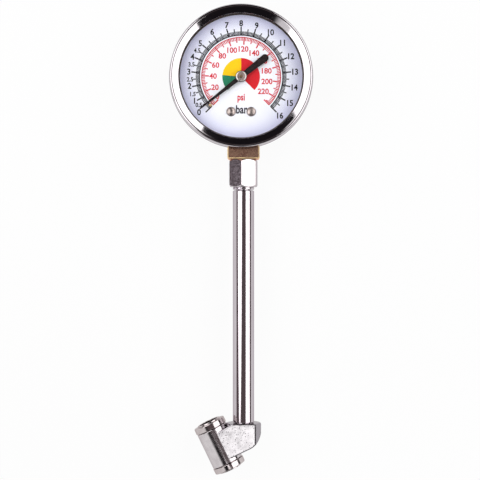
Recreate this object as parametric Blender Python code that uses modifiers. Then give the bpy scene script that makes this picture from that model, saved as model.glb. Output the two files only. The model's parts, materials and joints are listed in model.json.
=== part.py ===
"""Dial tyre gauge: a 63 mm pressure gauge on a chromed tube that ends in a double-mouthed tyre chuck.

The gauge lies on its back. The origin is the middle of the case's back face, +Z is the way the dial
faces, and the stem runs along -Y to the chuck. Sizes are in millimetres and angles in degrees; the
mesh helpers turn them into metres and radians.
"""

import math

import bmesh
import bpy
from mathutils import Vector

MM = 0.001
MERGE = 1e-7

# Fits
SEAT_GAP = 0.3
LIGHT_GAP = 0.15
THREAD_GAP = 0.25
OVERCUT = 1.0

# Facets: round a full turn, then along a rounded corner or end
FINE = 48
MEDIUM = 24
SMALL = 12
HUB_STEPS = 12
END_STEPS = 8
WEB_CORNER_STEPS = 6
CORNER_STEPS = 4
FLAT_ANGLE = 0.5
SHARP_ANGLE = 40.0

# Gauge case
CASE_WALL = 1.6
CASE_FLANGE_WIDTH = 1.1
CASE_FLANGE_HEIGHT = 1.0
CASE_CORNER = 2.0
CASE_INNER_CORNER = 0.4

# Bezel, window and gasket; the rolled crest is drawn as (outward from the crest, down from the top)
BEZEL_REAR_RADIUS = 33.4
BEZEL_TAPER = 0.4
BEZEL_CREST_INSET = 1.2
BEZEL_CONE_WIDTH = 2.9
BEZEL_CREST = ((-0.5, 0.35), (-0.2, 0.08), (0.0, 0.0), (0.35, 0.12), (0.9, 0.7))
BEZEL_SHOULDER_DROP = 1.6
BEZEL_SKIRT_WALL = 0.8
BEZEL_OVERLAP = 2.2
BEZEL_LIP_HEIGHT = 3.1
WINDOW_THICKNESS = 1.3
GASKET_THICKNESS = 0.7
GASKET_WIDTH = 4.0

# Dial and what stands on it; a screw's dome is drawn as (share of its radius, down from its top)
DIAL_THICKNESS = 0.5
DIAL_LIFT = 1.6
DIAL_INSET = 2.2
DIAL_SCREW_X = 4.68
DIAL_SCREW_DROP = 2.95
DIAL_SCREW_HEAD_RADIUS = 2.0
DIAL_SCREW_HEAD_HEIGHT = 0.95
DIAL_SCREW_DOME = ((0.5, 0.08), (0.85, 0.32))
DIAL_SCREW_EDGE = 0.15
DIAL_SCREW_RADIUS = 0.5
STOP_PIN_CLOCK = -132.4
STOP_PIN_ORBIT = 19.46
STOP_PIN_RADIUS = 0.8
STOP_PIN_HEIGHT = 2.0

# Pointer
POINTER_REST_CLOCK = -128.0
POINTER_RIM_GAP = 4.6
POINTER_TAIL = 14.6
POINTER_TIP_WIDTH = 0.7
POINTER_ROOT_WIDTH = 2.1
POINTER_NECK_WIDTH = 2.5
POINTER_TAIL_WIDTH = 3.1
POINTER_THICKNESS = 0.5
POINTER_LIFT = 1.3
HUB_RADIUS = 2.65
HUB_HEIGHT = 0.8
HUB_EDGE = 0.15
HUB_STEM_RADIUS = 0.95

# Movement
MOVEMENT_LIFT = 1.3
PLATE_THICKNESS = 0.8
PLATE_SPACE = 3.3
PLATE_MARGIN = 2.2
PILLAR_RADIUS = 1.3
PILLAR_NECK_RADIUS = 1.1
PILLAR_FOOT_RADIUS = 0.8
UPPER_PILLAR = (-7.5, 1.5)
MODULE = 0.2
PRESSURE_ANGLE = 25.0
ROOT_DEPTH = 1.25
LEAST_FLANK = 0.05
PINION_TEETH = 12
SECTOR_WHEEL_TEETH = 120
TOOTH_THINNING = 0.04
SECTOR_LEFT = 7.0
SECTOR_RIGHT = 34.0
SECTOR_CHEEK = 60.0
SECTOR_LIFT = 0.6
SECTOR_THICKNESS = 0.8
SECTOR_HUB_RADIUS = 2.2
SECTOR_ARBOR_RADIUS = 0.8
TAIL_REACH = 6.0
TAIL_ANGLE = -5.0
TAIL_WIDTH = 1.5
LINK_PIN_RADIUS = 0.5
LINK_EYE_RADIUS = 1.1
LINK_THICKNESS = 0.6
PINION_ARBOR_RADIUS = 0.6
PINION_WIDTH = 1.4
COLLET_RADIUS = 1.0
COLLET_HEIGHT = 0.8
HAIRSPRING_TURNS = 5
HAIRSPRING_WIRE = 0.3
HAIRSPRING_POINTS_PER_TURN = 16

# Bourdon tube
BOURDON_INSET = 9.1
BOURDON_TIP_ANGLE = -12.0
BOURDON_ROOT_ANGLE = 264.0
BOURDON_WIDTH = 6.4
BOURDON_THICKNESS = 2.6
BOURDON_WALL = 0.4
BOURDON_FLOOR_GAP = 2.3
TIP_BLOCK_LENGTH = 3.0
TIP_PIN = (12.0, 0.0)

# Socket
STEM_OFFSET = 1.1
STEM_DROP = 7.8
SQUARE_SIDE = 15.0
SQUARE_LENGTH = 6.3
SQUARE_CHAMFER = 0.5
NECK_WIDTH = 11.0
NECK_BACK = 4.5
NECK_RISE = 2.9
HOLDER_WIDTH = 13.0
HOLDER_LIP = 4.0
SPIGOT_RADIUS = 4.0
SPIGOT_LENGTH = 7.0
STEM_BORE_RADIUS = 2.0
HOLDER_BORE_RADIUS = 1.3
CROSS_BORE_RADIUS = 1.0
SOCKET_SCREW_SPREAD = 4.2
SOCKET_SCREW_RADIUS = 1.0
SOCKET_SCREW_HEAD_RADIUS = 1.9
CASE_SCREW_REACH = 5.4
PLATE_SCREW_REACH = 2.9
PLATE_SCREW_HEAD_HEIGHT = 0.9

# Coupling and tube
HEX_SIDES = 6
HEX_SHOULDER = 1.2
HEX_LENGTH = 12.9
HEX_TURN = 22.0
HEX_CHAMFER_SLOPE = 42.0
COLLAR_LENGTH = 1.2
COLLAR_GROOVE = 0.4
TUBE_RADIUS = 5.0
TUBE_WALL = 1.4
TUBE_LENGTH = 113.6
TUBE_CHAMFER = 0.4
TUBE_END_WALL = 0.7
TUBE_PLUG_LENGTH = 9.0
COUPLING_SEAL_THICKNESS = 1.2

# Chuck
CHUCK_TUBE_SOCKET_DEPTH = 5.0
BOSS_WALL = 3.3
BOSS_EDGE = 0.5
BOSS_FLAT = 0.05
BOSS_CORE_LENGTH = 5.0
WEB_UPPER_SLOPE = 30.0
WEB_END_INSET = 1.5
WEB_FACE_WALL = 1.5
WEB_EDGE = 0.6
WEB_EDGE_SEGMENTS = 2
WEB_EDGE_LEAST_ANGLE = 50.0
WEB_LOWER_CORNER = 5.5
BARREL_TILT = 25.8
BARREL_CLEAR = 3.83
BARREL_DROP = 10.7
BARREL_SET_BACK = 0.7
BARREL_RADIUS = 7.4
BARREL_LENGTH = 17.4
BARREL_WALL = 1.25
CHAMBER_RADIUS = 4.2
CHAMBER_LENGTH = 9.6
VALVE_RADIUS = 3.85
MOUTH_CLEARANCE = 0.75
CAP_LEDGE = 0.25
CAP_WALL_LENGTH = 2.4
CAP_CHAMFER = 0.3
CAP_COLLAR_RISE = 0.6
CAP_RIM_WIDTH = 0.9
CAP_RELIEF = 0.15
CHUCK_SEAL_THICKNESS = 1.6
CHUCK_SEAL_BORE_RADIUS = 1.9
DEPRESSOR_STEM_RADIUS = 1.2
DEPRESSOR_HEAD_RADIUS = 3.2
DEPRESSOR_HEAD_LENGTH = 1.1
DEPRESSOR_REACH = 1.0
DEPRESSOR_CHAMFER = 0.3
CHUCK_SPRING_RADIUS = 2.3
CHUCK_SPRING_WIRE = 0.5
CHUCK_SPRING_TURNS = 4
CHUCK_SPRING_POINTS_PER_TURN = 10
AIR_WAY_RADIUS = 1.6
AIR_WAY_DROP = 2.6

# Heights that follow, from the case's floor forward
BOURDON_HEIGHT = CASE_WALL + BOURDON_FLOOR_GAP + BOURDON_WIDTH / 2
MOVEMENT_BASE = BOURDON_HEIGHT + BOURDON_WIDTH / 2 + MOVEMENT_LIFT
PLATE_GAP_BASE = MOVEMENT_BASE + PLATE_THICKNESS
FRONT_PLATE_BASE = PLATE_GAP_BASE + PLATE_SPACE
FRONT_PLATE_TOP = FRONT_PLATE_BASE + PLATE_THICKNESS
SECTOR_BASE = PLATE_GAP_BASE + SECTOR_LIFT
SECTOR_TOP = SECTOR_BASE + SECTOR_THICKNESS
SECTOR_MIDDLE = (SECTOR_BASE + SECTOR_TOP) / 2
LINK_BASE = SECTOR_TOP + SEAT_GAP
LINK_PIN_TOP = LINK_BASE + LINK_THICKNESS + LIGHT_GAP
COLLET_BASE = FRONT_PLATE_BASE - SEAT_GAP - COLLET_HEIGHT
DIAL_BASE = FRONT_PLATE_TOP + DIAL_LIFT
DIAL_TOP = DIAL_BASE + DIAL_THICKNESS
POINTER_BASE = DIAL_TOP + POINTER_LIFT
HUB_BASE = POINTER_BASE + POINTER_THICKNESS + LIGHT_GAP
HUB_TOP = HUB_BASE + HUB_HEIGHT
CASE_DEPTH = DIAL_TOP + DIAL_INSET
GASKET_BASE = CASE_DEPTH + LIGHT_GAP
WINDOW_BASE = GASKET_BASE + GASKET_THICKNESS + LIGHT_GAP
BEZEL_LIP_BASE = WINDOW_BASE + WINDOW_THICKNESS + LIGHT_GAP
BEZEL_TOP = BEZEL_LIP_BASE + BEZEL_LIP_HEIGHT
BEZEL_REAR_HEIGHT = CASE_DEPTH - BEZEL_OVERLAP
STEM_HEIGHT = BEZEL_REAR_HEIGHT - STEM_DROP
HOLDER_FRONT = MOVEMENT_BASE - SEAT_GAP
HOLDER_BACK = CASE_WALL + SEAT_GAP
NECK_FRONT = STEM_HEIGHT + NECK_RISE

# Radii that follow, from the bezel inward
BEZEL_FRONT_RADIUS = BEZEL_REAR_RADIUS - BEZEL_TAPER
BEZEL_CREST_RADIUS = BEZEL_FRONT_RADIUS - BEZEL_CREST_INSET
BEZEL_OPENING_RADIUS = BEZEL_CREST_RADIUS - BEZEL_CONE_WIDTH
SKIRT_INNER_RADIUS = BEZEL_REAR_RADIUS - BEZEL_SKIRT_WALL
WINDOW_RADIUS = SKIRT_INNER_RADIUS - SEAT_GAP
CASE_FLANGE_RADIUS = SKIRT_INNER_RADIUS - SEAT_GAP
CASE_RADIUS = CASE_FLANGE_RADIUS - CASE_FLANGE_WIDTH
CASE_INNER_RADIUS = CASE_RADIUS - CASE_WALL
DIAL_RADIUS = CASE_INNER_RADIUS - SEAT_GAP
POINTER_REACH = BEZEL_OPENING_RADIUS - POINTER_RIM_GAP
BOURDON_RADIUS = CASE_INNER_RADIUS - BOURDON_INSET
BOURDON_ARC = BOURDON_ROOT_ANGLE - BOURDON_TIP_ANGLE
GEAR_CENTRES = MODULE * (PINION_TEETH + SECTOR_WHEEL_TEETH) / 2
SECTOR_PIVOT = (0.0, -GEAR_CENTRES)
DIAL_SCREW_Y = -GEAR_CENTRES - DIAL_SCREW_DROP

# Places that follow, down the stem
HOLDER_TOP = BOURDON_RADIUS - HOLDER_LIP
HOLDER_END = math.sqrt(CASE_INNER_RADIUS**2 - (HOLDER_WIDTH / 2 + STEM_OFFSET) ** 2) - SEAT_GAP
POCKET_END = BOURDON_RADIUS + BOURDON_THICKNESS / 2 + SEAT_GAP
SOCKET_SCREW_DEPTH = (POCKET_END + HOLDER_END) / 2
SQUARE_TOP = CASE_RADIUS + SEAT_GAP
SQUARE_END = SQUARE_TOP + SQUARE_LENGTH
HEX_TOP = SQUARE_END + LIGHT_GAP
HEX_END = HEX_TOP + HEX_LENGTH
HEX_FLAT_RADIUS = TUBE_RADIUS + HEX_SHOULDER
HEX_CORNER_RADIUS = HEX_FLAT_RADIUS / math.cos(math.pi / HEX_SIDES)
TUBE_BORE_RADIUS = TUBE_RADIUS - TUBE_WALL
TUBE_END_RADIUS = TUBE_BORE_RADIUS + TUBE_END_WALL
TUBE_TOP = HEX_END + COLLAR_LENGTH + COLLAR_GROOVE
TUBE_END = TUBE_TOP + TUBE_LENGTH

# Chuck places that follow, from the web's top and then outwards from the barrel's middle
WEB_TOP = TUBE_END + SEAT_GAP - CHUCK_TUBE_SOCKET_DEPTH
TUBE_SHOULDER = WEB_TOP - SEAT_GAP
BOSS_RADIUS = TUBE_RADIUS + BOSS_WALL
WEB_HALF_THICKNESS = TUBE_RADIUS + WEB_FACE_WALL
WEB_SHOULDER = math.sqrt(BOSS_RADIUS**2 - WEB_HALF_THICKNESS**2)
BARREL_OFFSET = -BARREL_RADIUS - BARREL_CLEAR
BARREL_CENTRE = (BARREL_OFFSET, -BARREL_SET_BACK, WEB_TOP + BARREL_DROP)
BARREL_HALF = BARREL_LENGTH / 2
POCKET_RADIUS = BARREL_RADIUS - BARREL_WALL
CHAMBER_HALF = CHAMBER_LENGTH / 2
CHUCK_SEAL_BASE = CHAMBER_HALF + LIGHT_GAP
CHUCK_SEAL_TOP = CHUCK_SEAL_BASE + CHUCK_SEAL_THICKNESS
CAP_RADIUS = BARREL_RADIUS + CAP_LEDGE
CAP_THREAD_RADIUS = POCKET_RADIUS - THREAD_GAP
CAP_BASE = BARREL_HALF + SEAT_GAP
CAP_FACE = CAP_BASE + CAP_WALL_LENGTH + CAP_CHAMFER
CAP_TOP = CAP_FACE + CAP_COLLAR_RISE
MOUTH_RADIUS = VALVE_RADIUS + MOUTH_CLEARANCE
CAP_RIM_RADIUS = MOUTH_RADIUS + CAP_RIM_WIDTH
DEPRESSOR_HEAD_TOP = CHAMBER_HALF - LIGHT_GAP
DEPRESSOR_HEAD_BASE = DEPRESSOR_HEAD_TOP - DEPRESSOR_HEAD_LENGTH

# Finishes: colour, metallic, roughness
CHROME = ((0.78, 0.77, 0.79), 1.0, 0.08)
SATIN_NICKEL = ((0.66, 0.63, 0.64), 1.0, 0.25)
BRASS = ((0.72, 0.52, 0.26), 1.0, 0.3)
STEEL = ((0.6, 0.6, 0.62), 1.0, 0.3)
BRONZE = ((0.62, 0.42, 0.22), 1.0, 0.35)
BLACK_PLASTIC = ((0.02, 0.02, 0.022), 0.0, 0.45)
BLACK_PAINT = ((0.012, 0.01, 0.011), 0.0, 0.4)
BLACK_RUBBER = ((0.02, 0.02, 0.02), 0.0, 0.8)
WHITE_ENAMEL = ((0.9, 0.91, 0.94), 0.0, 0.4)
CLEAR_PLASTIC = ((0.95, 0.96, 0.97), 0.0, 0.03)


def clear_scene():
    """Remove everything that the open file holds."""
    for obj in list(bpy.data.objects):
        bpy.data.objects.remove(obj, do_unlink=True)


def make_collection(name):
    """Add a collection to the scene."""
    collection = bpy.data.collections.new(name)
    bpy.context.scene.collection.children.link(collection)
    return collection


clear_scene()
PARTS = make_collection("dial_tyre_gauge")
TOOLS = make_collection("dial_tyre_gauge_cutters")


def place(obj, parent, location, rotation):
    """Put an object at a place in millimetres, turned by degrees, under its parent."""
    obj.parent = parent
    obj.location = Vector(location) * MM
    obj.rotation_euler = [math.radians(angle) for angle in rotation]


def frame(name, parent=None, location=(0, 0, 0), rotation=(0, 0, 0)):
    """Add an empty that other pieces are placed from."""
    empty = bpy.data.objects.new(name, None)
    PARTS.objects.link(empty)
    place(empty, parent, location, rotation)
    return empty


def part(name, mesh, finish, parent=None, location=(0, 0, 0), rotation=(0, 0, 0)):
    """Add a named piece with its own material."""
    obj = bpy.data.objects.new(name, mesh)
    PARTS.objects.link(obj)
    place(obj, parent, location, rotation)
    material = bpy.data.materials.new(name)
    material.use_nodes = True
    shader = material.node_tree.nodes["Principled BSDF"]
    colour, metallic, roughness = finish
    shader.inputs["Base Color"].default_value = (*colour, 1.0)
    shader.inputs["Metallic"].default_value = metallic
    shader.inputs["Roughness"].default_value = roughness
    mesh.materials.append(material)
    return obj


def tool(name, mesh, parent=None, location=(0, 0, 0), rotation=(0, 0, 0)):
    """Add a shape that only cuts or joins other pieces."""
    obj = bpy.data.objects.new(name, mesh)
    TOOLS.objects.link(obj)
    place(obj, parent, location, rotation)
    obj.hide_render = True
    obj.display_type = "WIRE"
    return obj


def combine(obj, other, operation):
    """Cut, join or intersect a piece with a tool."""
    modifier = obj.modifiers.new(other.name, "BOOLEAN")
    modifier.operation = operation
    modifier.solver = "EXACT"
    modifier.object = other


def cut(obj, *tools):
    """Take tools out of a piece."""
    for other in tools:
        combine(obj, other, "DIFFERENCE")


def join(obj, *tools):
    """Fuse tools to a piece."""
    for other in tools:
        combine(obj, other, "UNION")


def shade(mesh):
    """Shade a mesh smooth over its gentle edges."""
    mesh.shade_smooth()
    mesh.set_sharp_from_angle(angle=math.radians(SHARP_ANGLE))
    return mesh


def mesh_from(name, builder):
    """Store a bmesh, drawn in millimetres, as a mesh in metres."""
    builder.normal_update()
    for vertex in builder.verts:
        vertex.co *= MM
    mesh = bpy.data.meshes.new(name)
    builder.to_mesh(mesh)
    builder.free()
    return shade(mesh)


def box_mesh(name, low, high):
    """A box between two corners."""
    builder = bmesh.new()
    bmesh.ops.create_cube(builder, size=1.0)
    size = Vector(high) - Vector(low)
    middle = (Vector(high) + Vector(low)) / 2
    bmesh.ops.scale(builder, vec=size, verts=builder.verts)
    bmesh.ops.translate(builder, vec=middle, verts=builder.verts)
    return mesh_from(name, builder)


def rod_mesh(name, radius, low, high, facets=SMALL, top_radius=None):
    """A rod or cone along Z between two heights."""
    builder = bmesh.new()
    end_radius = radius if top_radius is None else top_radius
    bmesh.ops.create_cone(
        builder,
        cap_ends=True,
        segments=facets,
        radius1=radius,
        radius2=end_radius,
        depth=high - low,
    )
    bmesh.ops.translate(builder, vec=(0, 0, (low + high) / 2), verts=builder.verts)
    return mesh_from(name, builder)


def profile_mesh(name, points, closed=False):
    """A line of points (radius, height) in the XZ plane, to be turned."""
    builder = bmesh.new()
    vertices = [builder.verts.new((radius, 0, height)) for radius, height in points]
    for start, end in zip(vertices, vertices[1:]):
        builder.edges.new((start, end))
    if closed:
        builder.edges.new((vertices[-1], vertices[0]))
    return mesh_from(name, builder)


def turn(obj, facets=MEDIUM, angle=360.0):
    """Spin a profile about its own Z axis."""
    modifier = obj.modifiers.new("turned", "SCREW")
    modifier.angle = math.radians(angle)
    modifier.steps = facets
    modifier.render_steps = facets
    modifier.use_merge_vertices = True
    modifier.merge_threshold = MERGE
    return obj


def ring_points(inner, outer, low, high):
    """The section of a plain ring."""
    return [(inner, high), (outer, high), (outer, low), (inner, low)]


def arc_points(centre, radius, start, end, steps):
    """Points along an arc, from one angle to another, ends included."""
    points = []
    for step in range(steps + 1):
        angle = math.radians(start + (end - start) * step / steps)
        points.append((centre[0] + radius * math.cos(angle), centre[1] + radius * math.sin(angle)))
    return points


def circle_points(centre, radius, facets=SMALL):
    """Points round a circle."""
    return arc_points(centre, radius, 0.0, 360.0, facets)[:-1]


def plate_mesh(name, outlines, low, high):
    """A flat outline, with any holes, thickened between two heights."""
    curve = bpy.data.curves.new(name, "CURVE")
    curve.dimensions = "2D"
    curve.fill_mode = "BOTH"
    curve.extrude = (high - low) / 2 * MM
    for outline in outlines:
        spline = curve.splines.new("POLY")
        spline.points.add(len(outline) - 1)
        for point, (x, y) in zip(spline.points, outline):
            point.co = (x * MM, y * MM, 0.0, 1.0)
        spline.use_cyclic_u = True
    drawn = bpy.data.objects.new(name, curve)
    TOOLS.objects.link(drawn)
    filled = drawn.evaluated_get(bpy.context.evaluated_depsgraph_get())
    mesh = bpy.data.meshes.new_from_object(filled)
    bpy.data.objects.remove(drawn)
    builder = bmesh.new()
    builder.from_mesh(mesh)
    bmesh.ops.remove_doubles(builder, verts=builder.verts, dist=MERGE)
    bmesh.ops.recalc_face_normals(builder, faces=builder.faces)
    bmesh.ops.translate(builder, vec=(0, 0, (low + high) / 2 * MM), verts=builder.verts)
    builder.to_mesh(mesh)
    builder.free()
    return shade(mesh)


def hull_mesh(name, circles, low, high):
    """A plate whose outline wraps round a set of circles (x, y, radius)."""
    builder = bmesh.new()
    for x, y, radius in circles:
        for point in circle_points((x, y), radius):
            for height in (low, high):
                builder.verts.new((*point, height))
    bmesh.ops.convex_hull(builder, input=builder.verts)
    flat = math.radians(FLAT_ANGLE)
    bmesh.ops.dissolve_limit(builder, angle_limit=flat, verts=builder.verts, edges=builder.edges)
    return mesh_from(name, builder)


def wire(name, points, thickness, finish, parent=None, location=(0, 0, 0), rotation=(0, 0, 0)):
    """A bent wire through points in millimetres."""
    curve = bpy.data.curves.new(name, "CURVE")
    curve.dimensions = "3D"
    curve.bevel_depth = thickness / 2 * MM
    curve.bevel_resolution = 1
    curve.use_fill_caps = True
    spline = curve.splines.new("POLY")
    spline.points.add(len(points) - 1)
    for point, place_mm in zip(spline.points, points):
        point.co = (*(Vector(place_mm) * MM), 1.0)
    return part(name, curve, finish, parent, location, rotation)


def least_gap(points, thickness, neighbours):
    """Least clear space between a wire's stretches that lie more than some points apart."""
    least = math.inf
    for index, here in enumerate(points):
        for there in points[index + neighbours:]:
            least = min(least, (Vector(here) - Vector(there)).length - thickness)
    return least


def clock_place(clock, orbit):
    """Where a clockwise angle from the top lies on a circle round the dial's centre."""
    angle = math.radians(clock)
    return (orbit * math.sin(angle), orbit * math.cos(angle))


def rounded_outline(corners, steps):
    """An outline through corners (x, y, radius), each rounded by its radius."""
    points = []
    count = len(corners)
    for index, (x, y, radius) in enumerate(corners):
        corner = Vector((x, y))
        if radius == 0.0:
            points.append((x, y))
            continue
        before = (Vector(corners[index - 1][:2]) - corner).normalized()
        after = (Vector(corners[(index + 1) % count][:2]) - corner).normalized()
        half = before.angle(after) / 2
        centre = corner + (before + after).normalized() * radius / math.sin(half)
        start = corner + before * radius / math.tan(half) - centre
        end = corner + after * radius / math.tan(half) - centre
        sweep = start.angle_signed(end)
        first = math.degrees(math.atan2(start.y, start.x))
        points += arc_points(centre, radius, first, first - math.degrees(sweep), steps)
    return points


def tooth_half_angle(radius, pitch_radius, teeth):
    """Half the angle that an involute tooth takes up at a radius."""
    pressure = math.radians(PRESSURE_ANGLE)
    base = pitch_radius * math.cos(pressure)
    roll = math.acos(base / max(radius, base))
    at_pitch = math.pi / (2 * teeth) - TOOTH_THINNING / (2 * pitch_radius)
    return at_pitch + math.tan(pressure) - pressure - math.tan(roll) + roll


def tooth_points(teeth, centre_angles):
    """Outline of involute teeth, counterclockwise, at the given centre angles."""
    pitch_radius = MODULE * teeth / 2
    root = pitch_radius - ROOT_DEPTH * MODULE
    base = max(root, pitch_radius * math.cos(math.radians(PRESSURE_ANGLE)))
    crown = pitch_radius + MODULE
    radii = [root, base, pitch_radius, (pitch_radius + crown) / 2, crown]
    if base - root < LEAST_FLANK * MODULE:
        radii = radii[1:]
    points = []
    for centre in centre_angles:
        flank = [(radius, tooth_half_angle(radius, pitch_radius, teeth)) for radius in radii]
        turned = [(radius, math.radians(centre) - half) for radius, half in flank]
        turned += [(radius, math.radians(centre) + half) for radius, half in reversed(flank)]
        points += [(radius * math.cos(angle), radius * math.sin(angle)) for radius, angle in turned]
    return points


def bourdon_pole():
    """The point that the tube's free end turns about as the tube unwinds."""
    arc = math.radians(BOURDON_ARC)
    tip = math.radians(BOURDON_TIP_ANGLE)
    outward = Vector((math.cos(tip), math.sin(tip)))
    onward = Vector((-math.sin(tip), math.cos(tip)))
    travel = ((arc - math.sin(arc)) * onward + (1 - math.cos(arc)) * outward) / arc
    return BOURDON_RADIUS * (outward - Vector((travel.y, -travel.x)))


def build_case():
    """The moulded cup, open at the front, with a square hole for the socket."""
    floor_corner = arc_points(
        (CASE_RADIUS - CASE_CORNER, CASE_CORNER), CASE_CORNER, 0.0, -90.0, CORNER_STEPS
    )
    profile = [
        (0.0, CASE_WALL),
        (CASE_INNER_RADIUS - CASE_INNER_CORNER, CASE_WALL),
        (CASE_INNER_RADIUS, CASE_WALL + CASE_INNER_CORNER),
        (CASE_INNER_RADIUS, CASE_DEPTH),
        (CASE_FLANGE_RADIUS, CASE_DEPTH),
        (CASE_FLANGE_RADIUS, CASE_DEPTH - CASE_FLANGE_HEIGHT),
        (CASE_RADIUS, CASE_DEPTH - CASE_FLANGE_HEIGHT),
        *floor_corner,
        (0.0, 0.0),
    ]
    case = turn(part("case", profile_mesh("case", profile), BLACK_PLASTIC), FINE)
    half = SQUARE_SIDE / 2 + SEAT_GAP
    doorway = box_mesh(
        "socket_doorway",
        (STEM_OFFSET - half, -CASE_RADIUS - OVERCUT, STEM_HEIGHT - half),
        (STEM_OFFSET + half, -CASE_INNER_RADIUS + CASE_WALL, STEM_HEIGHT + half),
    )
    cut(case, tool("socket_doorway", doorway))
    for side, x, y in socket_screw_places():
        name = f"case_screw_sink_{side}"
        sink = tool(name, profile_mesh(name, screw_sink_points()), location=(x, y, 0.0))
        cut(case, turn(sink, SMALL))


def socket_screw_places():
    """The sides and places of the screws that meet the socket from behind and from in front."""
    left = STEM_OFFSET - SOCKET_SCREW_SPREAD
    right = STEM_OFFSET + SOCKET_SCREW_SPREAD
    return (("left", left, -SOCKET_SCREW_DEPTH), ("right", right, -SOCKET_SCREW_DEPTH))


def screw_sink_points():
    """The countersunk hole that a case screw sits in, with its clearance."""
    head = SOCKET_SCREW_HEAD_RADIUS + LIGHT_GAP
    shank = SOCKET_SCREW_RADIUS + LIGHT_GAP
    slope = SOCKET_SCREW_HEAD_RADIUS - SOCKET_SCREW_RADIUS
    return [
        (0.0, CASE_WALL + OVERCUT),
        (shank, CASE_WALL + OVERCUT),
        (shank, slope + LIGHT_GAP),
        (head, LIGHT_GAP),
        (head, -OVERCUT),
        (0.0, -OVERCUT),
    ]


def build_case_screws():
    """Two countersunk screws that hold the socket from behind."""
    slope = SOCKET_SCREW_HEAD_RADIUS - SOCKET_SCREW_RADIUS
    profile = [
        (0.0, CASE_WALL + CASE_SCREW_REACH),
        (SOCKET_SCREW_RADIUS, CASE_WALL + CASE_SCREW_REACH),
        (SOCKET_SCREW_RADIUS, slope + LIGHT_GAP),
        (SOCKET_SCREW_HEAD_RADIUS, LIGHT_GAP),
        (0.0, LIGHT_GAP),
    ]
    for side, x, y in socket_screw_places():
        name = f"case_screw_{side}"
        turn(part(name, profile_mesh(name, profile), STEEL, location=(x, y, 0.0)), SMALL)


def build_bezel():
    """The chromed ring: a coned lip in front, a rolled crest and a skirt behind."""
    crest = [(BEZEL_CREST_RADIUS + outward, BEZEL_TOP - down) for outward, down in BEZEL_CREST]
    profile = [
        (BEZEL_OPENING_RADIUS, BEZEL_LIP_BASE + LIGHT_GAP),
        *crest,
        (BEZEL_FRONT_RADIUS, BEZEL_TOP - BEZEL_SHOULDER_DROP),
        (BEZEL_REAR_RADIUS, BEZEL_REAR_HEIGHT),
        (SKIRT_INNER_RADIUS, BEZEL_REAR_HEIGHT),
        (SKIRT_INNER_RADIUS, BEZEL_LIP_BASE - SEAT_GAP),
        (SKIRT_INNER_RADIUS - SEAT_GAP, BEZEL_LIP_BASE),
        (BEZEL_OPENING_RADIUS, BEZEL_LIP_BASE),
    ]
    turn(part("bezel", profile_mesh("bezel", profile, closed=True), CHROME), FINE)


def build_window():
    """The clear disc and the rubber ring that it presses on."""
    gasket = ring_points(
        WINDOW_RADIUS - GASKET_WIDTH, WINDOW_RADIUS, GASKET_BASE, GASKET_BASE + GASKET_THICKNESS
    )
    turn(part("window_gasket", profile_mesh("gasket", gasket, closed=True), BLACK_RUBBER), FINE)
    disc = rod_mesh("window", WINDOW_RADIUS, WINDOW_BASE, WINDOW_BASE + WINDOW_THICKNESS, FINE)
    part("window", disc, CLEAR_PLASTIC)


def dial_screw_places():
    """The two dial screws' sides and places."""
    return (("left", -DIAL_SCREW_X, DIAL_SCREW_Y), ("right", DIAL_SCREW_X, DIAL_SCREW_Y))


def build_dial():
    """The enamelled scale plate, its screws and the pin that stops the pointer."""
    holes = [circle_points((0.0, 0.0), HUB_STEM_RADIUS + SEAT_GAP)]
    for _, x, y in dial_screw_places():
        holes.append(circle_points((x, y), DIAL_SCREW_RADIUS + LIGHT_GAP))
    pin_place = clock_place(STOP_PIN_CLOCK, STOP_PIN_ORBIT)
    rivet_radius = STOP_PIN_RADIUS / 2
    holes.append(circle_points(pin_place, rivet_radius + LIGHT_GAP))
    rim = circle_points((0.0, 0.0), DIAL_RADIUS, FINE)
    part("dial_plate", plate_mesh("dial_plate", [rim, *holes], DIAL_BASE, DIAL_TOP), WHITE_ENAMEL)

    seat = DIAL_TOP + LIGHT_GAP
    pin_top = DIAL_TOP + STOP_PIN_HEIGHT
    dome = arc_points((0.0, pin_top - STOP_PIN_RADIUS), STOP_PIN_RADIUS, 90.0, 0.0, CORNER_STEPS)
    pin = [
        (0.0, pin_top),
        *dome[1:],
        (STOP_PIN_RADIUS, seat),
        (rivet_radius, seat),
        (rivet_radius, DIAL_BASE),
        (0.0, DIAL_BASE),
    ]
    turn(part("stop_pin", profile_mesh("stop_pin", pin), BRASS, location=(*pin_place, 0.0)), SMALL)

    head = DIAL_SCREW_HEAD_RADIUS
    head_top = seat + DIAL_SCREW_HEAD_HEIGHT
    screw = [
        (0.0, head_top),
        *[(head * share, head_top - down) for share, down in DIAL_SCREW_DOME],
        (head, seat + DIAL_SCREW_EDGE),
        (head, seat),
        (DIAL_SCREW_RADIUS, seat),
        (DIAL_SCREW_RADIUS, FRONT_PLATE_BASE),
        (0.0, FRONT_PLATE_BASE),
    ]
    for side, x, y in dial_screw_places():
        name = f"dial_screw_{side}"
        turn(part(name, profile_mesh(name, screw), SATIN_NICKEL, location=(x, y, 0.0)), SMALL)


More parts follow.
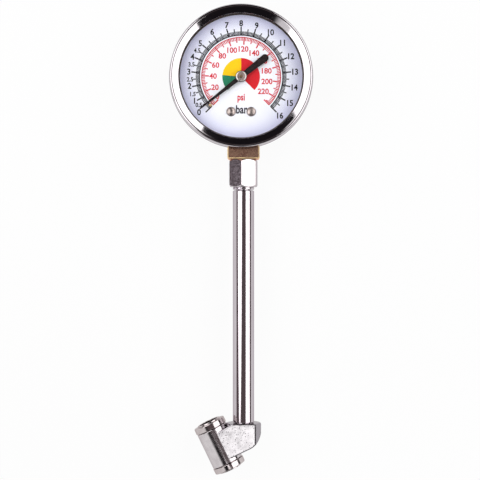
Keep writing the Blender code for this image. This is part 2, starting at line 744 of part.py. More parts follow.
def build_pointer():
    """The black pointer and its pressed-on hub, drawn pointing up and turned to rest."""
    rest = (0.0, 0.0, -POINTER_REST_CLOCK)
    tail_end = POINTER_TAIL - POINTER_TAIL_WIDTH / 2
    outline = [
        (POINTER_TIP_WIDTH / 2, POINTER_REACH),
        (-POINTER_TIP_WIDTH / 2, POINTER_REACH),
        (-POINTER_ROOT_WIDTH / 2, HUB_RADIUS),
        (-POINTER_NECK_WIDTH / 2, -HUB_RADIUS),
        *arc_points((0.0, -tail_end), POINTER_TAIL_WIDTH / 2, 180.0, 360.0, END_STEPS),
        (POINTER_NECK_WIDTH / 2, -HUB_RADIUS),
        (POINTER_ROOT_WIDTH / 2, HUB_RADIUS),
    ]
    eye = circle_points((0.0, 0.0), HUB_STEM_RADIUS + LIGHT_GAP)
    blade = plate_mesh("pointer", [outline, eye], POINTER_BASE, POINTER_BASE + POINTER_THICKNESS)
    part("pointer", blade, BLACK_PAINT, rotation=rest)

    bore = PINION_ARBOR_RADIUS + LIGHT_GAP / 2
    hub = [
        (bore, HUB_TOP),
        (HUB_RADIUS - HUB_EDGE, HUB_TOP),
        (HUB_RADIUS, HUB_TOP - HUB_EDGE),
        (HUB_RADIUS, HUB_BASE),
        (HUB_STEM_RADIUS, HUB_BASE),
        (HUB_STEM_RADIUS, DIAL_TOP),
        (bore, DIAL_TOP),
    ]
    turn(part("pointer_hub", profile_mesh("pointer_hub", hub, closed=True), SATIN_NICKEL), MEDIUM)


def pillar_places():
    """The three movement pillars: side, place and the height that each ends at."""
    below_dial = DIAL_BASE - LIGHT_GAP
    pillars = [(side, x, y, below_dial) for side, x, y in dial_screw_places()]
    pillars.append(("upper", *UPPER_PILLAR, FRONT_PLATE_TOP))
    return pillars


def upright_rod(name, x, y, radius, low, high):
    """A rod along Z, to drill a hole or stand as a pin, at a place in the gauge's own frame."""
    return tool(name, rod_mesh(name, radius, low, high), location=(x, y, 0.0))


def build_movement_plates():
    """The two brass plates, drilled for the arbors, the pillars and the screws."""
    corners = [(x, y, PLATE_MARGIN) for _, x, y, _ in pillar_places()]
    corners.append((0.0, 0.0, PLATE_MARGIN))
    lugs = [(x, y, PLATE_MARGIN) for _, x, y in socket_screw_places()]
    back_mesh = hull_mesh("movement_back_plate", corners + lugs, MOVEMENT_BASE, PLATE_GAP_BASE)
    back = part("movement_back_plate", back_mesh, BRASS)
    front_mesh = hull_mesh("movement_front_plate", corners, FRONT_PLATE_BASE, FRONT_PLATE_TOP)
    front = part("movement_front_plate", front_mesh, BRASS)

    back_holes = [(f"{side}_lug", x, y, SOCKET_SCREW_RADIUS) for side, x, y in socket_screw_places()]
    for plate, holes, pillar_radius in (
        (back, back_holes, PILLAR_FOOT_RADIUS),
        (front, [], PILLAR_NECK_RADIUS),
    ):
        holes.append(("pinion", 0.0, 0.0, PINION_ARBOR_RADIUS))
        holes.append(("sector", *SECTOR_PIVOT, SECTOR_ARBOR_RADIUS))
        holes += [(f"{side}_pillar", x, y, pillar_radius) for side, x, y, _ in pillar_places()]
        for name, x, y, radius in holes:
            label = f"{plate.name}_{name}_hole"
            cut(plate, upright_rod(label, x, y, radius + LIGHT_GAP, HOLDER_FRONT, DIAL_BASE))


def build_pillars():
    """Three shouldered pillars that hold the plates apart; two of them carry the dial."""
    bore = DIAL_SCREW_RADIUS + LIGHT_GAP
    bore_end = FRONT_PLATE_BASE - SEAT_GAP
    shoulder_low = PLATE_GAP_BASE + LIGHT_GAP
    shoulder_high = FRONT_PLATE_BASE - LIGHT_GAP
    for side, x, y, top in pillar_places():
        profile = [
            (0.0, bore_end),
            (bore, bore_end),
            (bore, top),
            (PILLAR_NECK_RADIUS, top),
            (PILLAR_NECK_RADIUS, shoulder_high),
            (PILLAR_RADIUS, shoulder_high),
            (PILLAR_RADIUS, shoulder_low),
            (PILLAR_FOOT_RADIUS, shoulder_low),
            (PILLAR_FOOT_RADIUS, MOVEMENT_BASE),
            (0.0, MOVEMENT_BASE),
        ]
        name = f"movement_pillar_{side}"
        turn(part(name, profile_mesh(name, profile), BRASS, location=(x, y, 0.0)), SMALL)


def build_movement_screws():
    """Two screws that hold the back plate on the socket."""
    head_base = PLATE_GAP_BASE + LIGHT_GAP
    head_top = head_base + PLATE_SCREW_HEAD_HEIGHT
    foot = MOVEMENT_BASE - PLATE_SCREW_REACH
    profile = [
        (0.0, head_top),
        (SOCKET_SCREW_HEAD_RADIUS, head_top),
        (SOCKET_SCREW_HEAD_RADIUS, head_base),
        (SOCKET_SCREW_RADIUS, head_base),
        (SOCKET_SCREW_RADIUS, foot),
        (0.0, foot),
    ]
    for side, x, y in socket_screw_places():
        name = f"movement_screw_{side}"
        turn(part(name, profile_mesh(name, profile), STEEL, location=(x, y, 0.0)), SMALL)


def build_pinion():
    """The pinion with its arbor, which carries the pointer, and the hairspring's collet."""
    step = 360.0 / PINION_TEETH
    angles = [-90.0 + step * index for index in range(PINION_TEETH)]
    teeth = plate_mesh(
        "pinion_arbor",
        [tooth_points(PINION_TEETH, angles)],
        SECTOR_MIDDLE - PINION_WIDTH / 2,
        SECTOR_MIDDLE + PINION_WIDTH / 2,
    )
    pinion = part("pinion_arbor", teeth, BRASS)
    arbor = rod_mesh("pinion_shaft", PINION_ARBOR_RADIUS, MOVEMENT_BASE, HUB_TOP)
    collet = rod_mesh("hairspring_collet", COLLET_RADIUS, COLLET_BASE, COLLET_BASE + COLLET_HEIGHT)
    join(pinion, tool("pinion_shaft", arbor), tool("hairspring_collet", collet))


def hairspring_points():
    """A flat spiral from the collet out to the upper pillar, which anchors it."""
    count = HAIRSPRING_TURNS * HAIRSPRING_POINTS_PER_TURN
    anchor = Vector(UPPER_PILLAR)
    start = COLLET_RADIUS + LIGHT_GAP + HAIRSPRING_WIRE / 2
    end = anchor.length - PILLAR_RADIUS - SEAT_GAP - HAIRSPRING_WIRE / 2
    first_angle = math.atan2(anchor.y, anchor.x)
    height = COLLET_BASE + COLLET_HEIGHT / 2
    points = []
    for index in range(count + 1):
        radius = start + (end - start) * index / count
        angle = first_angle + 2 * math.pi * index / HAIRSPRING_POINTS_PER_TURN
        points.append((radius * math.cos(angle), radius * math.sin(angle), height))
    return points


def build_hairspring():
    """The spiral that takes up the play in the teeth."""
    points = hairspring_points()
    gap = least_gap(points, HAIRSPRING_WIRE, HAIRSPRING_POINTS_PER_TURN // 2)
    print(f"hairspring least gap {gap:.3f} mm")
    wire("hairspring", points, HAIRSPRING_WIRE, BRONZE)


def tail_place():
    """The sector's tail pin, from the sector's pivot."""
    angle = math.radians(TAIL_ANGLE)
    return (TAIL_REACH * math.cos(angle), TAIL_REACH * math.sin(angle))


def build_sector():
    """The toothed sector with its arbor and the tail that the link pulls."""
    step = 360.0 / SECTOR_WHEEL_TEETH
    first = math.ceil((SECTOR_RIGHT - step / 2) / step)
    last = math.floor((SECTOR_LEFT - step / 2) / step)
    angles = [90.0 + step * (index + 0.5) for index in range(-first, last + 1)]
    outline = tooth_points(SECTOR_WHEEL_TEETH, angles)
    cheeks = (angles[-1] + SECTOR_CHEEK, angles[0] + 360.0 - SECTOR_CHEEK)
    outline += arc_points((0.0, 0.0), SECTOR_HUB_RADIUS, *cheeks, HUB_STEPS)
    sector_mesh = plate_mesh("sector_gear", [outline], SECTOR_BASE, SECTOR_TOP)
    pivot = (*SECTOR_PIVOT, 0.0)
    sector = part("sector_gear", sector_mesh, BRASS, location=pivot)
    half_width = TAIL_WIDTH / 2
    tail_ends = [(0.0, 0.0, half_width), (*tail_place(), half_width)]
    tail_mesh = hull_mesh("sector_tail", tail_ends, SECTOR_BASE, SECTOR_TOP)
    arbor_mesh = rod_mesh("sector_arbor", SECTOR_ARBOR_RADIUS, MOVEMENT_BASE, FRONT_PLATE_TOP)
    pin_place = Vector(SECTOR_PIVOT) + Vector(tail_place())
    join(
        sector,
        tool("sector_tail", tail_mesh, location=pivot),
        tool("sector_arbor", arbor_mesh, location=pivot),
        upright_rod("tail_pin", *pin_place, LINK_PIN_RADIUS, SECTOR_MIDDLE, LINK_PIN_TOP),
    )


def build_link():
    """The strap from the sector's tail to the Bourdon tube's tip, its origin on the tail pin."""
    start = Vector(SECTOR_PIVOT) + Vector(tail_place())
    reach = Vector(TIP_PIN) - start
    strap = hull_mesh(
        "link",
        [(0.0, 0.0, LINK_EYE_RADIUS), (*reach, LINK_EYE_RADIUS)],
        LINK_BASE,
        LINK_BASE + LINK_THICKNESS,
    )
    link = part("link", strap, STEEL, location=(*start, 0.0))
    for name, x, y, play in (
        ("link_tail_hole", start.x, start.y, LIGHT_GAP),
        ("link_tip_hole", TIP_PIN[0], TIP_PIN[1], SEAT_GAP),
    ):
        cut(link, upright_rod(name, x, y, LINK_PIN_RADIUS + play, SECTOR_TOP, FRONT_PLATE_BASE))


def build_bourdon():
    """The flattened spring tube, open at its root, and the tip piece that closes it."""
    half_width = BOURDON_WIDTH / 2
    round_end = BOURDON_THICKNESS / 2
    flat = half_width - round_end
    top_centre = (BOURDON_RADIUS, BOURDON_HEIGHT + flat)
    low_centre = (BOURDON_RADIUS, BOURDON_HEIGHT - flat)
    section = arc_points(top_centre, round_end, 180.0, 0.0, CORNER_STEPS)
    section += arc_points(low_centre, round_end, 0.0, -180.0, CORNER_STEPS)
    tube_mesh = profile_mesh("bourdon_tube", section, closed=True)
    tube = part("bourdon_tube", tube_mesh, BRONZE, rotation=(0.0, 0.0, BOURDON_TIP_ANGLE))
    turn(tube, MEDIUM, BOURDON_ARC)
    wall = tube.modifiers.new("wall", "SOLIDIFY")
    wall.thickness = BOURDON_WALL * MM
    wall.offset = -1.0

    pole = bourdon_pole()
    end = BOURDON_RADIUS * Vector(clock_place(90.0 - BOURDON_TIP_ANGLE, 1.0))
    block = box_mesh(
        "tip_block",
        (-round_end, -SEAT_GAP - TIP_BLOCK_LENGTH, BOURDON_HEIGHT - half_width),
        (round_end, -SEAT_GAP, SECTOR_TOP),
    )
    inward = Vector(clock_place(180.0 - BOURDON_TIP_ANGLE, SEAT_GAP + TIP_BLOCK_LENGTH / 2))
    arm = hull_mesh(
        "bourdon_tip",
        [(*(end + inward - pole), round_end), (*(Vector(TIP_PIN) - pole), LINK_EYE_RADIUS)],
        SECTOR_BASE,
        SECTOR_TOP,
    )
    tip = part("bourdon_tip", arm, BRASS, location=(*pole, 0.0))
    join(
        tip,
        tool("tip_block", block, location=(*end, 0.0), rotation=(0.0, 0.0, BOURDON_TIP_ANGLE)),
        upright_rod("tip_pin", *TIP_PIN, LINK_PIN_RADIUS, SECTOR_MIDDLE, LINK_PIN_TOP),
    )


def build_socket(stem):
    """The brass socket: tube holder and neck inside, square and spigot outside, drilled through."""
    square = box_mesh(
        "socket",
        (-SQUARE_SIDE / 2, -SQUARE_SIDE / 2, SQUARE_TOP),
        (SQUARE_SIDE / 2, SQUARE_SIDE / 2, SQUARE_END),
    )
    socket = part("socket", square, BRASS, stem)
    chamfer = socket.modifiers.new("chamfer", "BEVEL")
    chamfer.width = SQUARE_CHAMFER * MM
    chamfer.segments = 1
    spigot_end = SQUARE_END + SPIGOT_LENGTH
    neck = box_mesh(
        "socket_neck",
        (-NECK_WIDTH / 2, NECK_BACK - STEM_HEIGHT, HOLDER_END - SEAT_GAP),
        (NECK_WIDTH / 2, NECK_FRONT - STEM_HEIGHT, SQUARE_TOP + SQUARE_LENGTH / 2),
    )
    holder = box_mesh(
        "socket_holder",
        (-HOLDER_WIDTH / 2, HOLDER_BACK - STEM_HEIGHT, HOLDER_TOP),
        (HOLDER_WIDTH / 2, HOLDER_FRONT - STEM_HEIGHT, HOLDER_END),
    )
    spigot = rod_mesh("socket_spigot", SPIGOT_RADIUS, SQUARE_END - OVERCUT, spigot_end, MEDIUM)
    join(
        socket,
        tool("socket_neck", neck, stem),
        tool("socket_holder", holder, stem),
        tool("socket_spigot", spigot, stem),
    )

    crossing = SQUARE_TOP + SQUARE_LENGTH / 2
    depth = BOURDON_HEIGHT - STEM_HEIGHT
    pocket_half = BOURDON_WIDTH / 2 + SEAT_GAP
    root = clock_place(90.0 - BOURDON_ROOT_ANGLE, BOURDON_RADIUS)
    inner = BOURDON_RADIUS - BOURDON_THICKNESS / 2
    face = HOLDER_WIDTH / 2 - STEM_OFFSET
    pocket_right = root[0] - STEM_OFFSET + SEAT_GAP
    pocket = box_mesh(
        "bourdon_pocket",
        (-HOLDER_WIDTH / 2 - OVERCUT, depth - pocket_half, math.sqrt(inner**2 - face**2) - SEAT_GAP),
        (pocket_right, depth + pocket_half, POCKET_END),
    )
    stem_bore = rod_mesh("stem_bore", STEM_BORE_RADIUS, crossing - CROSS_BORE_RADIUS, spigot_end + OVERCUT)
    holder_bore = rod_mesh("holder_bore", HOLDER_BORE_RADIUS, BOURDON_RADIUS, crossing)
    crossing_bore = rod_mesh("crossing_bore", CROSS_BORE_RADIUS, BOURDON_HEIGHT, STEM_HEIGHT)
    feed_bore = rod_mesh("feed_bore", CROSS_BORE_RADIUS, pocket_right - OVERCUT, 0.0)
    cut(
        socket,
        tool("bourdon_pocket", pocket, stem),
        tool("stem_bore", stem_bore, stem),
        tool("holder_bore", holder_bore, stem, location=(0.0, depth, 0.0)),
        tool("crossing_bore", crossing_bore, location=(STEM_OFFSET, -crossing, 0.0)),
        tool("feed_bore", feed_bore, stem, (0.0, depth, BOURDON_RADIUS), (0.0, 90.0, 0.0)),
    )
    radius = SOCKET_SCREW_RADIUS + LIGHT_GAP
    rear_end = CASE_WALL + CASE_SCREW_REACH + SEAT_GAP
    front_end = MOVEMENT_BASE - PLATE_SCREW_REACH - SEAT_GAP
    for side, x, y in socket_screw_places():
        cut(
            socket,
            upright_rod(f"rear_screw_hole_{side}", x, y, radius, 0.0, rear_end),
            upright_rod(f"front_screw_hole_{side}", x, y, radius, front_end, DIAL_BASE),
        )


def hex_chamfer_points():
    """The turned outline that rounds off a hexagon's ends."""
    outside = HEX_CORNER_RADIUS + OVERCUT
    drop = (outside - HEX_FLAT_RADIUS) * math.tan(math.radians(HEX_CHAMFER_SLOPE))
    return [
        (0.0, HEX_END),
        (HEX_FLAT_RADIUS, HEX_END),
        (outside, HEX_END - drop),
        (outside, HEX_TOP + drop),
        (HEX_FLAT_RADIUS, HEX_TOP),
        (0.0, HEX_TOP),
    ]


def build_coupling(stem):
    """The plated hexagon that joins the socket's spigot to the tube, and the seal inside it."""
    seal_base = SQUARE_END + SPIGOT_LENGTH + LIGHT_GAP
    seal_end = seal_base + COUPLING_SEAL_THICKNESS
    plug_end = TUBE_TOP + TUBE_PLUG_LENGTH
    prism = rod_mesh("hex_coupling", HEX_CORNER_RADIUS, HEX_TOP, HEX_END, HEX_SIDES)
    clocking = (0.0, 0.0, 180.0 / HEX_SIDES - HEX_TURN)
    coupling = part("hex_coupling", prism, SATIN_NICKEL, stem, rotation=clocking)
    chamfer = tool("hex_chamfer", profile_mesh("hex_chamfer", hex_chamfer_points()), stem)
    combine(coupling, turn(chamfer), "INTERSECT")
    collar = rod_mesh("collar", TUBE_RADIUS, HEX_END - OVERCUT, HEX_END + COLLAR_LENGTH, MEDIUM)
    plug = rod_mesh("tube_plug", TUBE_BORE_RADIUS - LIGHT_GAP, HEX_END - OVERCUT, plug_end, MEDIUM)
    join(coupling, tool("collar", collar, stem), tool("tube_plug", plug, stem))
    thread_radius = SPIGOT_RADIUS + THREAD_GAP
    thread = rod_mesh("coupling_thread", thread_radius, HEX_TOP - OVERCUT, seal_end + LIGHT_GAP, MEDIUM)
    bore = rod_mesh("coupling_bore", STEM_BORE_RADIUS, HEX_TOP, plug_end + OVERCUT)
    cut(coupling, tool("coupling_thread", thread, stem), tool("coupling_bore", bore, stem))

    seal = ring_points(STEM_BORE_RADIUS, SPIGOT_RADIUS, seal_base, seal_end)
    seal_mesh = profile_mesh("coupling_seal", seal, closed=True)
    turn(part("coupling_seal", seal_mesh, BLACK_RUBBER, stem), SMALL)


def build_tube(stem):
    """The straight chromed tube, its lower end turned down to screw into the chuck."""
    wall = [
        (TUBE_BORE_RADIUS, TUBE_END),
        (TUBE_END_RADIUS, TUBE_END),
        (TUBE_END_RADIUS, TUBE_SHOULDER),
        (TUBE_RADIUS, TUBE_SHOULDER),
        (TUBE_RADIUS, TUBE_TOP + TUBE_CHAMFER),
        (TUBE_RADIUS - TUBE_CHAMFER, TUBE_TOP),
        (TUBE_BORE_RADIUS, TUBE_TOP),
    ]
    turn(part("tube", profile_mesh("tube", wall, closed=True), CHROME, stem), MEDIUM)


def web_outline():
    """The chuck's web, seen from the front: right, and down the stem."""
    tilt = math.radians(BARREL_TILT)
    slope = math.radians(WEB_UPPER_SLOPE)
    along = Vector((math.sin(tilt), math.cos(tilt)))
    falling = Vector((-math.cos(slope), math.sin(slope)))
    centre = Vector((BARREL_CENTRE[0], BARREL_CENTRE[2]))
    shoulder = Vector((-WEB_SHOULDER, WEB_TOP))
    upper = shoulder + falling * (centre - shoulder).cross(along) / falling.cross(along)
    lower = centre + along * (BARREL_HALF - WEB_END_INSET)
    right = BOSS_RADIUS - BOSS_FLAT
    lower_right = lower.y - (right - lower.x) * math.tan(tilt)
    corners = [
        (*upper, 0.0),
        (*shoulder, WEB_EDGE),
        (right, WEB_TOP, 0.0),
        (right, lower_right, WEB_LOWER_CORNER),
        (*lower, 0.0),
    ]
    return rounded_outline(corners, WEB_CORNER_STEPS)


def build_chuck_body(stem, barrel):
    """The die-cast web, boss and barrel, bored for the tube, the air and what sits in the two mouths."""
    web = plate_mesh("chuck_body", [web_outline()], -WEB_HALF_THICKNESS, WEB_HALF_THICKNESS)
    body = part("chuck_body", web, CHROME, stem, rotation=(90.0, 0.0, 0.0))
    edges = body.modifiers.new("edges", "BEVEL")
    edges.width = WEB_EDGE * MM
    edges.segments = WEB_EDGE_SEGMENTS
    edges.limit_method = "ANGLE"
    edges.angle_limit = math.radians(WEB_EDGE_LEAST_ANGLE)
    reach = BARREL_RADIUS - BARREL_OFFSET
    low, high = WEB_TOP - OVERCUT, WEB_TOP + BARREL_DROP + BARREL_LENGTH
    keep = tool("boss_round", rod_mesh("boss_round", BOSS_RADIUS, low, high, MEDIUM), stem)
    join(keep, tool("web_side", box_mesh("web_side", (-reach, -BOSS_RADIUS, low), (0.0, BOSS_RADIUS, high)), stem))
    combine(body, keep, "INTERSECT")
    core_radius = BOSS_RADIUS - BOSS_FLAT
    core_low = WEB_TOP + BOSS_FLAT
    core_profile = [
        (0.0, core_low),
        (core_radius - BOSS_EDGE, core_low),
        (core_radius, core_low + BOSS_EDGE),
        (core_radius, core_low + BOSS_CORE_LENGTH),
        (0.0, core_low + BOSS_CORE_LENGTH),
    ]
    core = turn(tool("boss_core", profile_mesh("boss_core", core_profile), stem), MEDIUM)
    face = WEB_HALF_THICKNESS - BOSS_FLAT
    slab = box_mesh("boss_slab", (-BOSS_RADIUS, -face, low), (BOSS_RADIUS, face, high))
    combine(core, tool("boss_slab", slab, stem), "INTERSECT")
    join(body, core)
    barrel_mesh = rod_mesh("barrel", BARREL_RADIUS, -BARREL_HALF, BARREL_HALF, MEDIUM)
    join(body, tool("barrel", barrel_mesh, barrel))

    mouth_end = BARREL_HALF + OVERCUT
    chamber_end = CHAMBER_HALF + OVERCUT
    chamber = rod_mesh("chamber", CHAMBER_RADIUS, -chamber_end, chamber_end, MEDIUM)
    upper_pocket = rod_mesh("upper_pocket", POCKET_RADIUS, -mouth_end, -CHAMBER_HALF, MEDIUM)
    lower_pocket = rod_mesh("lower_pocket", POCKET_RADIUS, CHAMBER_HALF, mouth_end, MEDIUM)
    relief_radius = CAP_RADIUS + CAP_RELIEF
    relief_low, relief_high = CAP_BASE - CAP_RELIEF, CAP_TOP + OVERCUT
    upper_relief = rod_mesh("upper_relief", relief_radius, -relief_high, -relief_low, MEDIUM)
    lower_relief = rod_mesh("lower_relief", relief_radius, relief_low, relief_high, MEDIUM)
    seat_end = WEB_TOP + CHUCK_TUBE_SOCKET_DEPTH
    seat_radius = TUBE_END_RADIUS + LIGHT_GAP
    turn_down = seat_end + AIR_WAY_DROP
    tube_seat = rod_mesh("tube_seat", seat_radius, WEB_TOP - OVERCUT, seat_end, MEDIUM)
    down_way = rod_mesh("down_way", AIR_WAY_RADIUS, seat_end - OVERCUT, turn_down)
    side_way = rod_mesh("side_way", AIR_WAY_RADIUS, BARREL_OFFSET, AIR_WAY_RADIUS)
    cut(
        body,
        tool("chamber", chamber, barrel),
        tool("upper_pocket", upper_pocket, barrel),
        tool("lower_pocket", lower_pocket, barrel),
        tool("upper_relief", upper_relief, barrel),
        tool("lower_relief", lower_relief, barrel),
        tool("tube_seat", tube_seat, stem),
        tool("down_way", down_way, stem),
        tool("side_way", side_way, stem, (0.0, 0.0, turn_down), (0.0, 90.0, 0.0)),
    )


def build_mouth(side, barrel, rotation):
    """One mouth of the chuck: its screwed cap, rubber seal and depressor, drawn outwards along +Z."""
    thread_end = CHUCK_SEAL_TOP + LIGHT_GAP
    cap = [
        (MOUTH_RADIUS, CAP_TOP),
        (CAP_RIM_RADIUS, CAP_TOP),
        (CAP_RIM_RADIUS, CAP_FACE),
        (CAP_RADIUS - CAP_CHAMFER, CAP_FACE),
        (CAP_RADIUS, CAP_FACE - CAP_CHAMFER),
        (CAP_RADIUS, CAP_BASE),
        (CAP_THREAD_RADIUS, CAP_BASE),
        (CAP_THREAD_RADIUS, thread_end),
        (MOUTH_RADIUS, thread_end),
    ]
    seal = ring_points(CHUCK_SEAL_BORE_RADIUS, CAP_THREAD_RADIUS, CHUCK_SEAL_BASE, CHUCK_SEAL_TOP)
    tip = CHUCK_SEAL_TOP + DEPRESSOR_REACH
    depressor = [
        (0.0, tip),
        (DEPRESSOR_STEM_RADIUS - DEPRESSOR_CHAMFER, tip),
        (DEPRESSOR_STEM_RADIUS, tip - DEPRESSOR_CHAMFER),
        (DEPRESSOR_STEM_RADIUS, DEPRESSOR_HEAD_TOP),
        (DEPRESSOR_HEAD_RADIUS, DEPRESSOR_HEAD_TOP),
        (DEPRESSOR_HEAD_RADIUS, DEPRESSOR_HEAD_BASE),
        (0.0, DEPRESSOR_HEAD_BASE),
    ]
    for piece, profile, closed, finish, facets in (
        ("cap", cap, True, CHROME, MEDIUM),
        ("seal", seal, True, BLACK_RUBBER, MEDIUM),
        ("depressor", depressor, False, BRASS, SMALL),
    ):
        name = f"{side}_{piece}"
        mesh = profile_mesh(name, profile, closed)
        turn(part(name, mesh, finish, barrel, rotation=rotation), facets)


def build_chuck_spring(barrel):
    """The coil between the two depressors, which pushes both outwards."""
    half = DEPRESSOR_HEAD_BASE - LIGHT_GAP - CHUCK_SPRING_WIRE / 2
    count = CHUCK_SPRING_TURNS * CHUCK_SPRING_POINTS_PER_TURN
    points = []
    for index in range(count + 1):
        angle = 2 * math.pi * index / CHUCK_SPRING_POINTS_PER_TURN
        across = (CHUCK_SPRING_RADIUS * math.cos(angle), CHUCK_SPRING_RADIUS * math.sin(angle))
        points.append((*across, half * (2 * index / count - 1)))
    gap = least_gap(points, CHUCK_SPRING_WIRE, CHUCK_SPRING_POINTS_PER_TURN // 2)
    print(f"chuck spring least gap {gap:.3f} mm")
    wire("chuck_spring", points, CHUCK_SPRING_WIRE, STEEL, barrel)


def build_stem_and_chuck():
    """Everything that hangs on the stem's axis; along it, +Z runs down to the chuck."""
    stem = frame("stem_axis", None, (STEM_OFFSET, 0.0, STEM_HEIGHT), (90.0, 0.0, 0.0))
    barrel = frame("barrel_axis", stem, BARREL_CENTRE, (0.0, BARREL_TILT, 0.0))
    build_socket(stem)
    build_coupling(stem)
    build_tube(stem)
    build_chuck_body(stem, barrel)
    build_mouth("upper", barrel, (180.0, 0.0, 0.0))
    build_mouth("lower", barrel, (0.0, 0.0, 0.0))
    build_chuck_spring(barrel)


def build_gauge():
    """The gauge head, from the case forward."""
    build_case()
    build_case_screws()
    build_bezel()
    build_window()
    build_dial()
    build_pointer()
    build_movement_plates()
    build_pillars()
    build_movement_screws()
    build_pinion()
    build_hairspring()
    build_sector()
    build_link()
    build_bourdon()


build_gauge()
build_stem_and_chuck()
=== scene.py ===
"""Looks of a dial tyre gauge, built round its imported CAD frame.

Sizes in the classes are millimetres and degrees. Meshes are stored in metres in the frame's own axes:
the gauge lies on its back, +Z is the way the dial faces, and the stem runs along -Y to the chuck.
A point of a profile or an outline has a third number where its corner is rounded.
"""

from __future__ import annotations

import json
import logging
import math
from collections.abc import Iterator, Sequence
from dataclasses import dataclass, field
from enum import Enum
from typing import Any

import bmesh
import bpy
from mathutils import Matrix, Vector

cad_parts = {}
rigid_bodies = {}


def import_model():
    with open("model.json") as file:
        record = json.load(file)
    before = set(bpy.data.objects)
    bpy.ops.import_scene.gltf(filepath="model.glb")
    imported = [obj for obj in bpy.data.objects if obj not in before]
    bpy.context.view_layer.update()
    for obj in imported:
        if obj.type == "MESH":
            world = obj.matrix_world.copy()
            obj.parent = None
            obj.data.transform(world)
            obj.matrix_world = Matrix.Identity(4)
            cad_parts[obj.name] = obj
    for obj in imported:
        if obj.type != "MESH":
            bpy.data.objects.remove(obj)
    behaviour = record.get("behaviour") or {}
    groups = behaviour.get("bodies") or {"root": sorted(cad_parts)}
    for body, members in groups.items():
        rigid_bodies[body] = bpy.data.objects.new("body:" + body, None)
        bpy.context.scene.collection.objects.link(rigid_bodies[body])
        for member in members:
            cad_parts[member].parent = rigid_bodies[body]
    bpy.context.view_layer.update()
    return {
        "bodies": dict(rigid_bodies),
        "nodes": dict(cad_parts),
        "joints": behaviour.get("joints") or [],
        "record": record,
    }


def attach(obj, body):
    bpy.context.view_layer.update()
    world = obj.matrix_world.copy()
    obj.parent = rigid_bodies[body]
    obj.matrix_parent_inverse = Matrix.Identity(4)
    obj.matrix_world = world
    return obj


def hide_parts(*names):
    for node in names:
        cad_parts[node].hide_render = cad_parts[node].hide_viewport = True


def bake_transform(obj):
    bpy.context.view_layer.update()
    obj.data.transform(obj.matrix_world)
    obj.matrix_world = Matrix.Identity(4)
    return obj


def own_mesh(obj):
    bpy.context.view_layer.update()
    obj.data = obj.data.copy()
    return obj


LOG = logging.getLogger("dial_tyre_gauge")
MM = 0.001
MERGE = 1e-5
SHARP = 38.0
CRISP = 30.0

Colour = tuple[float, float, float]
Point = tuple[float, ...]
Frame = dict[str, Any]


class Body(str, Enum):
    """The CAD bodies that new pieces ride on."""

    GAUGE = "gauge_and_stem"
    POINTER = "pointer_body"
    UPPER_PLUNGER = "upper_plunger"
    LOWER_PLUNGER = "lower_plunger"
    TUBE_TIP = "tip_body"


class Axis(Enum):
    """The way that a surface's drawing or turning lines run."""

    NONE = (1.0, 1.0, 1.0)
    ALONG_STEM = (1.0, 0.04, 1.0)
    ROUND_DIAL = (1.0, 1.0, 0.02)


class Cut(str, Enum):
    """What a tool does to a cast blank."""

    JOIN = "UNION"
    BORE = "DIFFERENCE"
    KEEP = "INTERSECT"


class Front(str, Enum):
    """The form of a softbox's front."""

    SQUARE = "RECTANGLE"
    OVAL = "ELLIPSE"


# Shapes


def arc(centre: Point, radius: float, start: float, end: float, steps: int) -> list[Point]:
    """Points along an arc.

    Args:
        centre: the arc's centre.
        radius: its radius.
        start: angle of the first point.
        end: angle of the last point.
        steps: number of chords.

    Returns:
        The points, both ends included.
    """
    angles = [math.radians(start + (end - start) * index / steps) for index in range(steps + 1)]
    return [(centre[0] + radius * math.cos(a), centre[1] + radius * math.sin(a)) for a in angles]


def clock(angle: float, radius: float) -> tuple[float, float]:
    """Place on the dial, as x and y, at an angle clockwise from the top."""
    return radius * math.sin(math.radians(angle)), radius * math.cos(math.radians(angle))


def rotation(angle: float, axis: str = "Z") -> Matrix:
    """A turn about an axis through the origin."""
    return Matrix.Rotation(math.radians(angle), 4, axis)


